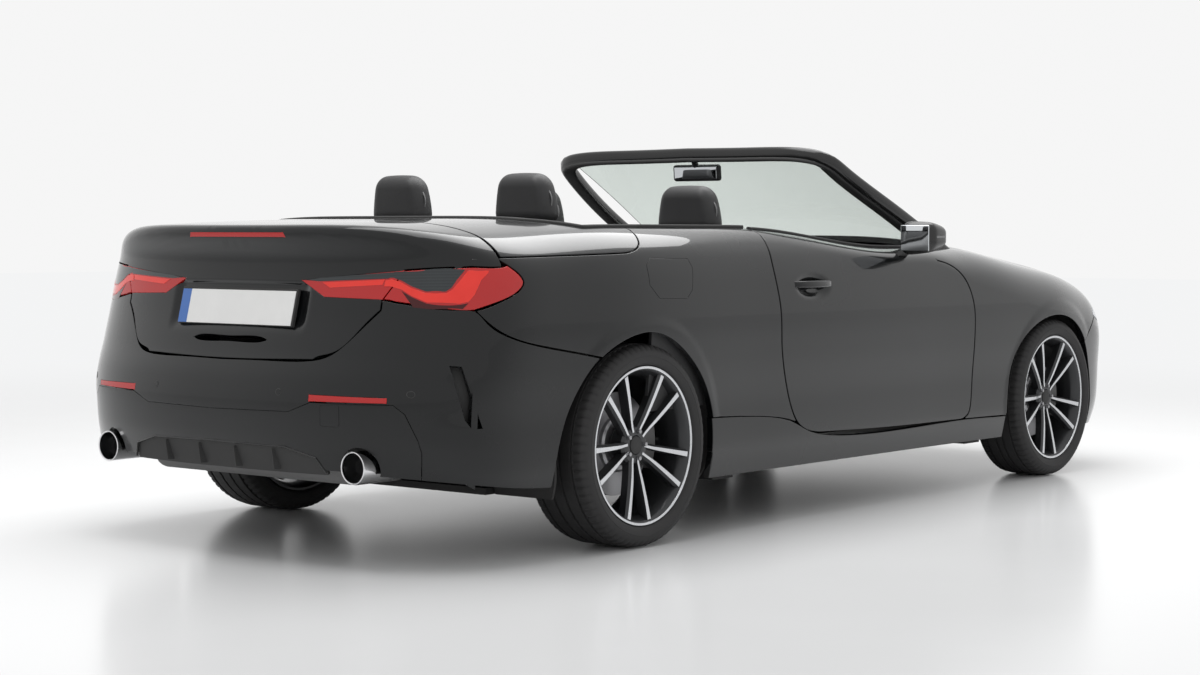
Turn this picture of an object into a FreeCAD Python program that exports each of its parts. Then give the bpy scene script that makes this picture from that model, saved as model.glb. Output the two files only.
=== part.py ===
import FreeCAD, Part
import math
import os
from FreeCAD import Vector, Rotation, Placement

# Two-door convertible car. Millimetres, X forward, Y to the car's left, Z up,
# origin on the ground at mid-length on the centre plane.

doc = FreeCAD.newDocument("Convertible")
sheet = doc.addObject("Spreadsheet::Sheet", "Sizes")

SIZES = [
    ("wheelbase", 2851, "between the axles"),
    ("front_overhang", 824, "front axle to nose"),
    ("rear_overhang", 1040, "rear axle to tail"),
    ("half_width", 926, "body at the rear axle"),
    ("sill_height", 185, "ground to underside"),
    ("skin", 26, "outer panel with its inner flange"),
    ("seam", 5, "shut line between panels"),
    ("axle_height", 331, "tyre radius, parked"),
    ("tyre_radius", 331, "outside"),
    ("rim_radius", 258, "rim flange"),
    ("front_tyre_width", 225, "over the sidewalls"),
    ("rear_tyre_width", 255, "over the sidewalls"),
    ("front_half_track", 790, "centre plane to tyre middle"),
    ("rear_half_track", 792, "centre plane to tyre middle"),
    ("kingpin_half_width", 715, "steering axis from the centre plane"),
    ("spoke_pairs", 5, "round the wheel"),
    ("hub_radius", 62, "centre of the rim"),
    ("disc_radius", 170, "brake disc"),
    ("disc_thickness", 28, "brake disc"),
    ("door_inner", 755, "centre plane to the door's trim"),
    ("door_step", 22, "inner door behind the skin's edge"),
    ("cabin_half_width", 700, "between the side walls"),
    ("deck_height", 1055, "boot and top cover, middle"),
    ("belt_height", 1070, "top surface over the doors, middle"),
    ("header_height", 1355, "windscreen header"),
    ("glass_thickness", 5, "windscreen"),
    ("header_radius", 27, "windscreen frame section"),
    ("floor_thickness", 22, "floor pan"),
    ("front_house_radius", 424, "wheel house round the steered wheel"),
    ("rear_house_radius", 400, "wheel house"),
    ("sill_box_half_width", 825.5, "floor pan's outer edge"),
    ("wall_thickness", 10, "wheel houses and bulkheads"),
    ("engine_length", 600, "plain block"),
    ("engine_width", 560, "plain block"),
    ("engine_height", 430, "plain block"),
    ("seat_width", 500, "front seat"),
    ("seat_half_spacing", 375, "front seat from the centre plane"),
    ("rear_seat_half_spacing", 293, "rear headrest from the centre plane"),
    ("steering_wheel_radius", 180, "rim centre line"),
    ("steering_rim_radius", 15, "rim section"),
    ("plate_length", 520, "number plate"),
    ("plate_height", 110, "number plate"),
    ("tailpipe_radius", 48, "exhaust tip"),
    ("tailpipe_spacing", 565, "exhaust tip from the centre plane"),
    ("tailpipe_height", 314, "exhaust tip above the ground"),
    ("pipe_clearance", 8, "bumper round the exhaust tip"),
    ("flap_pocket", 882, "centre plane to the bottom of the fuel flap's pocket"),
    ("tunnel_half_width", 120, "floor tunnel"),
    ("jacking_pad_height", 172, "ground to the jacking pads"),
    ("mirror_reach", 1040, "centre plane to the mirror's outer end"),
]
for row, (alias, value, note) in enumerate(SIZES, start=1):
    sheet.set(f"A{row}", alias)
    sheet.set(f"B{row}", str(value))
    sheet.setAlias(f"B{row}", alias)
    sheet.set(f"C{row}", note)
doc.recompute()


def size(alias):
    return float(sheet.get(alias))


length = size("rear_overhang") + size("wheelbase") + size("front_overhang")
tail = -length / 2
nose = length / 2
rear_axle = tail + size("rear_overhang")
front_axle = nose - size("front_overhang")
axle_z = size("axle_height")
skin = size("skin")
seam = size("seam")
SIDES = {"left": 1, "right": -1}


def smooth(table, at):
    """Monotone cubic through the table's points, straight outside them."""
    xs = [row[0] for row in table]
    ys = [row[1] for row in table]
    steps = [(ys[i + 1] - ys[i]) / (xs[i + 1] - xs[i]) for i in range(len(xs) - 1)]
    slopes = [steps[0]]
    for before, after in zip(steps, steps[1:]):
        slopes.append(0.0 if before * after <= 0 else 2 * before * after / (before + after))
    slopes.append(steps[-1])
    if at <= xs[0]:
        return ys[0] + slopes[0] * (at - xs[0])
    if at >= xs[-1]:
        return ys[-1] + slopes[-1] * (at - xs[-1])
    i = max(k for k in range(len(xs) - 1) if xs[k] <= at)
    span = xs[i + 1] - xs[i]
    u = (at - xs[i]) / span
    rise = ys[i + 1] - ys[i]
    a = slopes[i] * span - rise
    b = rise - slopes[i + 1] * span
    return ys[i] + u * rise + u * (1 - u) * (a * (1 - u) + b * u)


# Body form: plan width along the car, side profile up the side,
# the two ends' profiles, and the top surface.
PLAN = [
    (tail, 0.955), (rear_axle - 450, 0.977), (rear_axle, 1.0), (rear_axle + 700, 0.984),
    (front_axle - 1000, 0.977), (front_axle - 300, 0.987), (front_axle, 0.991),
    (front_axle + 350, 0.957), (nose, 0.90),
]
SIDE = [
    (150, 0.945), (190, 0.956), (300, 0.977), (420, 0.977), (600, 0.991), (730, 1.0),
    (850, 0.988), (950, 0.955), (1000, 0.913), (1120, 0.80),
]
TAIL = [
    (150, 100), (230, 62), (300, 32), (400, 6), (500, 0), (560, 12), (660, 60), (785, 105),
    (930, 128), (1020, 95), (1120, 85),
]
NOSE = [
    (150, 170), (200, 100), (250, 60), (330, 20), (420, 2), (500, 0), (600, 30), (680, 75),
    (780, 150), (900, 260), (1120, 450),
]
CREST = [
    (tail, size("deck_height") - 20), (tail + 330, size("deck_height")),
    (rear_axle, size("deck_height") + 15), (rear_axle + 730, size("belt_height")),
    (front_axle - 1190, 1006), (front_axle - 675, 1010), (front_axle - 260, 985),
    (front_axle + 180, 935), (front_axle + 450, 872), (front_axle + 600, 822),
    (nose - 60, 735), (nose, 700),
]
DROP = [
    (tail, 108), (rear_axle - 480, 102), (rear_axle, 72), (front_axle - 950, 74),
    (front_axle - 500, 95), (front_axle, 128), (nose, 128),
]
CROWN_POWER = [(tail, 5.0), (rear_axle + 700, 5.0), (front_axle - 900, 4.0), (front_axle - 200, 3.0), (nose, 2.6)]
REAR_CORNER = rear_axle - 325
FRONT_CORNER = front_axle + 280
REAR_POWER_X = 5.2
REAR_POWER_Y = 2.3
FRONT_POWER_X = 3.6
FRONT_POWER_Y = 2.6
LEVELS = [150, 230, 320, 430, 540, 650, 750, 850, 930, 1010, 1120]
CROWN_REACH = 880


def half_width(x, z):
    return size("half_width") * smooth(PLAN, x) * smooth(SIDE, z)


def corner_points(x0, x1, z, power_x, power_y, inset, count):
    """From the middle of an end round to where its corner meets the side."""
    points = []
    for k in range(-1, count):
        angle = math.radians(90.0 * abs(k) / count)
        x = x0 + (x1 - x0) * math.cos(angle) ** (2 / power_x)
        y = (half_width(x, z) - inset) * math.sin(angle) ** (2 / power_y)
        points.append(Vector(x, math.copysign(y, k), z))
    return points


def ring_points(z, inset):
    """Left half of the horizontal section at height z, from the tail to the nose."""
    x_tail = tail + smooth(TAIL, z) + inset
    x_nose = nose - smooth(NOSE, z) - inset
    left = corner_points(REAR_CORNER, x_tail, z, REAR_POWER_X, REAR_POWER_Y, inset, 6)
    steps = 9
    for k in range(steps + 1):
        x = REAR_CORNER + (FRONT_CORNER - REAR_CORNER) * k / steps
        left.append(Vector(x, half_width(x, z) - inset, z))
    left += reversed(corner_points(FRONT_CORNER, x_nose, z, FRONT_POWER_X, FRONT_POWER_Y, inset, 6))
    return left


def top_height(x, y):
    drop = smooth(DROP, x) * (abs(y) / CROWN_REACH) ** smooth(CROWN_POWER, x)
    return smooth(CREST, x) - drop


def surface_through(rows):
    surface = Part.BSplineSurface()
    surface.interpolate(rows)
    return surface.toShape()


def body_form(inset, low=0.0):
    """The closed outer form of the body, moved inwards by inset."""
    rows = [ring_points(z, inset) for z in LEVELS]
    for point in rows[0]:
        point.z -= low
    over = surface_through(rows)
    left = over.common(block(tail - 100, nose + 100, 0, 1200, 0, 1300)).Faces[0]
    right = left.mirror(Vector(0, 0, 0), Vector(0, 1, 0))
    caps = []
    for z in (LEVELS[0] - low, LEVELS[-1]):
        level = [edge for edge in left.Edges + right.Edges
                 if edge.BoundBox.ZLength < 0.01 and abs(edge.BoundBox.ZMin - z) < 1]
        caps.append(Part.Face(Part.Wire(Part.__sortEdges__(level))))
    skins = Part.makeShell([left, right] + caps)
    skins.sewShape()
    solid = Part.makeSolid(skins)
    xs = [tail - 150 + k * (length + 300) / 20 for k in range(21)]
    ys = [-1000 + k * 2000 / 12 for k in range(13)]
    top = surface_through([[Vector(x, y, top_height(x, y) - inset) for y in ys] for x in xs])
    return solid.common(top.extrude(Vector(0, 0, -1400)))


def wire_of(runs, place):
    """Closed wire: a run of two points is a line, a longer one a smooth curve."""
    edges = []
    for run in runs:
        points = [place(a, b) for a, b in run]
        if len(points) == 2:
            edges.append(Part.LineSegment(points[0], points[1]).toShape())
        else:
            curve = Part.BSplineCurve()
            curve.interpolate(points)
            edges.append(curve.toShape())
    return Part.Wire(Part.__sortEdges__(edges))


rest_gap = 0.3
floor_top = size("sill_height") + size("floor_thickness")
tunnel_top = 330
boot_floor = 480
beam_top = 300


def unit(a, b):
    reach = math.hypot(b[0] - a[0], b[1] - a[1])
    return ((b[0] - a[0]) / reach, (b[1] - a[1]) / reach)


def grown(runs, distance):
    """The closed outline moved outwards by a distance, with mitred corners."""
    loop = [point for run in runs for point in run[:-1]]
    area = sum(a[0] * b[1] - b[0] * a[1] for a, b in zip(loop, loop[1:] + loop[:1]))
    turn = distance if area > 0 else -distance
    moved = []
    for run in runs:
        last = len(run) - 1
        ways = [unit(run[max(0, i - 1)], run[min(last, i + 1)]) for i in range(last + 1)]
        moved.append([(p[0] + turn * w[1], p[1] - turn * w[0], w) for p, w in zip(run, ways)])
    for k, run in enumerate(runs):
        before = moved[k - 1][-1][2]
        after = moved[k][0][2]
        spread = 1 + before[0] * after[0] + before[1] * after[1]
        x = run[0][0] + turn * (before[1] + after[1]) / spread
        z = run[0][1] - turn * (before[0] + after[0]) / spread
        moved[k - 1][-1] = (x, z, before)
        moved[k][0] = (x, z, after)
    return [[(point[0], point[1]) for point in run] for run in moved]


def prism(runs, place, along, grow=0.0):
    """An outline grown by grow and extruded along a vector."""
    if grow:
        runs = grown(runs, grow)
    return Part.Face(wire_of(runs, place)).extrude(along)


def mirror_runs(runs, first):
    """The outline's other half: the first or second coordinate changes sign, the way runs back."""
    flip = (-1, 1) if first else (1, -1)
    return [[(a * flip[0], b * flip[1]) for a, b in reversed(run)] for run in reversed(runs)]


def polygon(points):
    return [[points[i], points[(i + 1) % len(points)]] for i in range(len(points))]


def side_prism(runs, side, near, far, grow=0.0):
    """From |Y| = near to |Y| = far on one side, outline in X and Z."""
    return prism(runs, lambda a, b: Vector(a, side * near, b), Vector(0, side * (far - near), 0), grow)


def plan_prism(runs, low, high, grow=0.0):
    return prism(runs, lambda a, b: Vector(a, b, low), Vector(0, 0, high - low), grow)


def rear_prism(runs, x_from, x_to, grow=0.0):
    return prism(runs, lambda a, b: Vector(x_from, a, b), Vector(x_to - x_from, 0, 0), grow)


def block(x0, x1, y0, y1, z0, z1):
    return Part.makeBox(x1 - x0, y1 - y0, z1 - z0, Vector(x0, y0, z0))


def rod(radius, start, end):
    direction = end.sub(start)
    return Part.makeCylinder(radius, direction.Length, start, direction)


def both_sides(shape):
    return shape.fuse(shape.mirror(Vector(0, 0, 0), Vector(0, 1, 0)))


def keep(name, shape, label=None):
    """A sub-part of the document with its shape."""
    feature = doc.addObject("Part::Feature", name)
    feature.Label = label or name
    feature.Shape = shape
    SUBPARTS.append(feature)
    return feature


SUBPARTS = []
FITTED = {}
outer = body_form(0)
inner = body_form(skin, low=60)
shell = outer.cut(inner)

# Outlines of the panels. X and Z from the side, X and Y from above, Y and Z from behind.
gap = seam / 2
FAR = 1100


def door_outline():
    f = front_axle
    r = rear_axle
    front = [(f - 950, 915), (f - 850, 892), (f - 761, 832), (f - 719, 756), (f - 699, 676),
             (f - 689, 516), (f - 696, 357), (f - 715, 305), (f - 765, 284)]
    low = [(f - 765, 284), (f - 1300, 288), (r + 1060, 302)]
    rear = [(r + 1060, 302), (r + 985, 314), (r + 913, 350), (r + 845, 467), (r + 794, 610),
            (r + 770, 786), (r + 756, 908), (r + 780, 1009)]
    return [front, low, rear, [rear[-1], (r + 790, 1200)],
            [(r + 790, 1200), (f - 960, 1200)], [(f - 960, 1200), front[0]]]


def front_arch_outline():
    f = front_axle
    curve = [(f - 412, 290), (f - 388, 463), (f - 325, 568), (f - 190, 650), (f - 20, 680),
             (f + 160, 644), (f + 305, 548), (f + 378, 420), (f + 396, 290)]
    return [curve, [curve[-1], (f + 396, 0)], [(f + 396, 0), (f - 412, 0)], [(f - 412, 0), curve[0]]]


def rear_arch_outline():
    r = rear_axle
    curve = [(r - 427, 280), (r - 388, 416), (r - 325, 532), (r - 220, 634), (r - 7, 700),
             (r + 129, 670), (r + 251, 595), (r + 345, 497), (r + 388, 397), (r + 392, 280)]
    return [curve, [curve[-1], (r + 388, 0)], [(r + 388, 0), (r - 427, 0)], [(r - 427, 0), curve[0]]]


def sill_outline():
    f = front_axle
    r = rear_axle
    return polygon([(r + 300, 0), (r + 300, 405), (r + 385, 399), (r + 870, 358), (r + 1000, 312),
                    (f - 765, 284), (f - 300, 278), (f - 300, 0)])


def bonnet_outline():
    f = front_axle
    half = [(f - 545, 0), (f - 560, 300), (f - 600, 560), (f - 640, 745)]
    side = [(f - 640, 745), (f - 300, 752), (f + 50, 742), (f + 300, 700), (f + 480, 620)]
    end = [(f + 480, 620), (f + 640, 440), (f + 700, 220), (f + 715, 0)]
    runs = [half, side, end]
    return runs + mirror_runs(runs, False)


def lid_outline():
    half = [(0, 625), (380, 632)]
    corner = [(380, 632), (449, 655), (530, 735), (578, 785)]
    rise = [(578, 785), (578, 816), (639, 906)]
    over = [(639, 906), (870, 921), (960, 930)]
    up = [(960, 930), (960, 1200)]
    runs = [half, corner, rise, over, up]
    return runs + [[(960, 1200), (-960, 1200)]] + mirror_runs(runs, True)


lid_front = rear_axle - 640
cover_rear = lid_front + seam
cover_front = rear_axle - 130
cockpit_front = front_axle - 690


def cover_outline():
    """Top cover seen from above: a deck with two horns beside the cabin."""
    half = [(cover_rear, 0), (cover_rear, 960), (cover_front + 260, 960), (cover_front + 260, 745)]
    runs = [[half[0], half[1]], [half[1], half[2]], [half[2], half[3]],
            [half[3], (cover_front, 700), (cover_front - 60, 560)],
            [(cover_front - 60, 560), (cover_front - 75, 0)]]
    return runs + mirror_runs(runs, False)


def cover_side_outline():
    """Lower edge of the top cover along the car's shoulder."""
    r = rear_axle
    edge = [(r + 110, 1054), (r + 76, 1029), (r + 37, 988), (r - 33, 960), (r - 110, 954)]
    back = [edge[-1], (r - 700, 945)]
    return [edge, back, [back[-1], (r - 700, 1200)], [(r - 700, 1200), (r + 110, 1200)],
            [(r + 110, 1200), edge[0]]]


def cockpit_outline():
    points = [(cockpit_front, -735), (cockpit_front, 735), (cover_front + 10, 735),
              (cover_front - 75, 560), (cover_front - 75, -560), (cover_front + 10, -735)]
    return polygon(points)


def bumper_side_outline():
    r = rear_axle
    top = [(r - 215, 624), (r - 360, 648), (r - 484, 668), (r - 652, 709), (r - 714, 750), (r - 743, 786)]
    return [top] + polygon([top[-1], (r - 760, 830), (r - 1300, 830), (r - 1300, 300), (r - 1010, 296),
                            (r - 863, 277), (r - 575, 239), (r - 215, 228), top[0]])[:-1]


def lamp_outline():
    """Outer tail lamp's inner and upper edges, from behind: Y and Z."""
    return polygon([(560, 790), (578, 816), (639, 906), (751, 914), (854, 919), (960, 925), (960, 770)])


def lamp_side_outline():
    """Outer tail lamp's tip and lower edge, from the side."""
    r = rear_axle
    tip = [(r - 641, 940), (r - 588, 896), (r - 573, 869), (r - 598, 842), (r - 660, 815),
           (r - 743, 787), (r - 803, 790), (r - 890, 817)]
    return [tip, [tip[-1], (r - 1200, 817)], [(r - 1200, 817), (r - 1200, 940)], [(r - 1200, 940), tip[0]]]


def both(outline, near, grow=0.0):
    """Cutters from |Y| = near outwards on both sides."""
    return [side_prism(outline, side, near, FAR, grow) for side in SIDES.values()]


arches = both(front_arch_outline(), 500) + both(rear_arch_outline(), 500)
door_cut = both(door_outline(), 640, gap)
bonnet_cut = plan_prism(bonnet_outline(), 640, 1200, gap)
lid_cut = rear_prism(lid_outline(), tail - 100, lid_front + gap, gap)
cover_cut = side_prism(cover_side_outline(), -1, -FAR, FAR, gap).common(plan_prism(cover_outline(), 900, 1250, gap))
cover_form = side_prism(cover_side_outline(), -1, -FAR, FAR, -gap).common(
    plan_prism(cover_outline(), 900, 1250, -gap))
cockpit_cut = plan_prism(cockpit_outline(), 640, 1200)


def lamp_prism(side, grow):
    runs = [[(side * y, z) for y, z in run] for run in lamp_outline()]
    behind = rear_prism(runs, tail - 100, rear_axle - 500, grow)
    return behind.common(side_prism(lamp_side_outline(), side, 0, FAR, grow))


lamp_cuts = [lamp_prism(side, gap) for side in SIDES.values()]
bumper_cut = side_prism(bumper_side_outline(), -1, -FAR, FAR, gap)
sill_cut = both(sill_outline(), 600, gap)


def side_box(side, x0, x1, z0=0, z1=1300):
    return block(x0, x1, min(0, side * FAR), max(0, side * FAR), z0, z1)


def one_solid(shape, what):
    """The largest solid of a cut, with the seam's slivers dropped."""
    solids = sorted(shape.Solids, key=lambda solid: solid.Volume)
    if not solids:
        raise RuntimeError(f"nothing left of {what}")
    return solids[-1]


def headlamp_outline():
    f = front_axle
    return polygon([(f + 400, 668), (f + 500, 745), (f + 640, 742), (f + 800, 700), (f + 800, 628),
                    (f + 600, 610)])


def reflector_outline():
    """Rear reflector on the left of the bumper, Y and Z."""
    return polygon([(400, 508), (661, 509), (661, 527), (400, 530)])


def diffuser_outline():
    return polygon([(-394, 150), (394, 150), (394, 298), (262, 358), (-262, 358), (-394, 298)])


def brake_lamp_outline():
    return polygon([(-222, 1002), (222, 1002), (214, 1020), (-214, 1020)])


def flap_outline():
    r = rear_axle
    return polygon([(r + 17, 916), (r + 47, 938), (r + 255, 934), (r + 268, 905), (r + 246, 831), (r + 212, 803),
                    (r + 60, 806), (r + 14, 851)])


def head_prism(grow):
    return [side_prism(headlamp_outline(), side, 430, FAR, grow) for side in SIDES.values()]


def lid_lamp_outline(side):
    points = [(578, 816), (639, 906), (264, 872), (365, 821)]
    return polygon([(side * y, z) for y, z in points])


def nose_outline():
    f = front_axle
    return polygon([(f + 300, 0), (f + 300, 560), (f + 420, 640), (f + 560, 690), (nose + 50, 700),
                    (nose + 50, 0)])


def grille_outline():
    return polygon([(-470, 590), (-400, 350), (400, 350), (470, 590)])


nose_cut = side_prism(nose_outline(), -1, -FAR, FAR, gap)
head_cut = head_prism(gap)
FRONT_REACH = (nose + 50, nose - 420)


def mirrored(shape):
    return shape.mirror(Vector(0, 0, 0), Vector(0, 1, 0))


def keep_pair(name, right):
    """The right-hand piece as built, and its mirror image on the left."""
    keep(f"{name}_right", right)
    keep(f"{name}_left", mirrored(right))


def build_doors():
    whole = outer.common(side_prism(door_outline(), -1, 640, FAR, -gap))
    step = side_prism(door_outline(), -1, 630, FAR + 20, 20).cut(
        side_prism(door_outline(), -1, 630, FAR + 20, -gap - size("door_step")))
    inside = block(tail, nose, -size("door_inner"), size("door_inner"), 0, 1300)
    keep_pair("door", one_solid(whole.cut([inner.common(step), inside]), "door"))


def build_fenders():
    middle = block(front_axle - 1100, front_axle - 560, -700, 700, 640, 1300)
    panel = shell.common(side_box(-1, front_axle - 960, nose, size("sill_height"), 1300))
    panel = panel.cut([bonnet_cut, cockpit_cut, nose_cut, middle] + arches + door_cut + sill_cut + head_cut)
    keep_pair("fender", one_solid(panel, "fender"))


def build_quarters():
    panel = shell.common(side_box(-1, tail, rear_axle + 1100, size("sill_height"), 1300))
    panel = panel.cut([cover_cut, cockpit_cut, lid_cut, bumper_cut] + arches + door_cut + sill_cut + lamp_cuts)
    plain = one_solid(panel, "quarter")
    keep("quarter_left", mirrored(plain))
    pocket = side_prism(flap_outline(), -1, size("flap_pocket"), FAR, gap)
    keep("quarter_right", one_solid(plain.cut(pocket), "quarter"))
    flap = outer.common(side_prism(flap_outline(), -1, size("flap_pocket") + 2, FAR, -gap))
    keep("fuel_flap", one_solid(flap, "fuel flap"))


def build_lids():
    bonnet = shell.common(plan_prism(bonnet_outline(), 640, 1200, -gap)).cut([nose_cut] + head_cut)
    keep("bonnet", one_solid(bonnet, "bonnet"))
    lid = shell.common(rear_prism(lid_outline(), tail - 100, lid_front - gap, -gap))
    lamps = [rear_prism(lid_lamp_outline(side), tail - 100, rear_axle - 700) for side in SIDES.values()]
    high = rear_prism(brake_lamp_outline(), tail - 100, tail + 175)
    panel = one_solid(lid.cut(lamps + [high]), "boot lid")
    keep("boot_lid", panel)
    keep("brake_lamp", one_solid(lid.common(high), "brake lamp"))
    glass = [lid.common(rear_prism(lid_lamp_outline(side), tail - 100, rear_axle - 700, -1)).cut(panel)
             for side in SIDES.values()]
    keep("lid_lamps", Part.makeCompound([one_solid(part, "lid lamp") for part in glass]))
    cover = shell.common(cover_form).cut([lid_cut, cockpit_cut])
    keep("top_cover", one_solid(cover, "top cover"))


def build_bumpers():
    rear = shell.common(side_prism(bumper_side_outline(), -1, -FAR, FAR, -gap))
    pipes = []
    lenses = []
    for side in SIDES.values():
        y = side * size("tailpipe_spacing")
        height = size("tailpipe_height")
        pipes.append(rod(size("tailpipe_radius") + size("pipe_clearance"), Vector(tail - 50, y, height),
                         Vector(tail + 300, y, height)))
        lens = [[(side * y, z) for y, z in run] for run in reflector_outline()]
        lenses.append(rear_prism(lens, tail - 50, tail + 300))
    insert = rear_prism(diffuser_outline(), tail - 50, tail + 300)
    keep("rear_bumper", one_solid(rear.cut([lid_cut, insert] + arches + lamp_cuts + pipes + lenses), "rear bumper"))
    keep("reflectors", Part.makeCompound([one_solid(rear.common(lens), "reflector") for lens in lenses]))
    insert = rear_prism(diffuser_outline(), tail - 50, tail + 300, -rest_gap)
    diffuser = one_solid(rear.common(insert).cut(pipes), "diffuser")
    fins = [profile_block([(tail + 58, 280), (tail + 8, 292), (tail + 6, 322), (tail + 30, 352)], y - 5, y + 5)
            for y in (-220, -75, 75, 220)]
    keep("diffuser", one_solid(diffuser.fuse(fins), "diffuser"))
    front = shell.common(side_prism(nose_outline(), -1, -FAR, FAR, -gap))
    opening = prism(grille_outline(), lambda a, b: Vector(FRONT_REACH[0], a, b),
                    Vector(FRONT_REACH[1] - FRONT_REACH[0], 0, 0))
    keep("front_bumper", one_solid(front.cut([opening] + arches + head_cut), "front bumper"))
    frame = opening.cut(prism(grille_outline(), lambda a, b: Vector(FRONT_REACH[0], a, b),
                              Vector(FRONT_REACH[1] - FRONT_REACH[0], 0, 0), -14))
    slats = [block(FRONT_REACH[1], FRONT_REACH[0], -500, 500, z, z + 12) for z in range(384, 580, 34)]
    pattern = frame.fuse([slat.common(opening) for slat in slats])
    keep("grille", shell.common(pattern))


def build_lamps():
    tails = [one_solid(shell.common(lamp_prism(side, -gap / 2)).cut(lid_cut), "tail lamp") for side in SIDES.values()]
    keep("tail_lamps", Part.makeCompound(tails))
    heads = [one_solid(shell.common(cut), "headlamp") for cut in head_prism(-1)]
    keep("headlamps", Part.makeCompound(heads))


def build_sills():
    covers = []
    for side in SIDES.values():
        panel = shell.common(side_prism(sill_outline(), side, 600, FAR, -gap))
        below = block(tail, nose, -FAR, FAR, 0, size("sill_height"))
        covers.append(one_solid(panel.cut(arches + door_cut + [below]), "sill cover"))
    keep("sill_covers", Part.makeCompound(covers))


def build_cowl():
    f = front_axle
    outline = polygon([(f - 735, -700), (f - 640, -695), (f - 600, -560), (f - 560, -300), (f - 545, 0),
                       (f - 560, 300), (f - 600, 560), (f - 640, 695), (f - 735, 700)])
    cowl = shell.common(plan_prism(outline, 640, 1200, -1)).cut(bonnet_cut)
    keep("cowl", one_solid(cowl, "cowl"))


def tube_along(points, radius):
    curve = Part.BSplineCurve()
    curve.interpolate(points)
    path = Part.Wire(curve.toShape())
    start = points[0]
    direction = curve.tangent(curve.FirstParameter)[0]
    section = Part.Wire(Part.makeCircle(radius, start, direction))
    return path.makePipeShell([section], True, True)


def build_windscreen():
    f = front_axle
    top = size("header_height") - size("header_radius")
    radius = size("header_radius")
    half = [(f - 600, 742, 900), (f - 1000, 722, 1090), (f - 1310, 660, 1250), (f - 1400, 600, top - 36),
            (f - 1392, 400, top - 10), (f - 1385, 0, top)]
    points = [Vector(*p) for p in half] + [Vector(x, -y, z) for x, y, z in reversed(half[:-1])]
    frame = one_solid(tube_along(points, radius).cut(outer), "windscreen frame")
    keep("windscreen_frame", frame)
    rows = []
    for u in (0, 0.25, 0.5, 0.75, 1.0):
        row = []
        for v in (-1, -0.6, 0, 0.6, 1):
            x = (f - 590 + 35 * (1 - v * v)) * (1 - u) + (f - 1382) * u + 18 * u * (1 - u)
            y = v * (700 * (1 - u) + 575 * u)
            z = (925 + 50 * (1 - v * v)) * (1 - u) + (top - 38 + 36 * (1 - v * v)) * u + 40 * u * (1 - u)
            row.append(Vector(x, y, z))
        rows.append(row)
    face = surface_through(rows)
    normal = Vector(0.45, 0, 0.89)
    glass = face.extrude(normal * size("glass_thickness")).cut([frame, outer])
    keep("windscreen", one_solid(glass, "windscreen"))
    FITTED["screen"] = [frame, glass]


def profile_block(points, y0, y1):
    """A side profile, X and Z, extruded from Y = y0 to Y = y1."""
    return prism(polygon(points), lambda a, b: Vector(a, y0, b), Vector(0, y1 - y0, 0))


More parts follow.
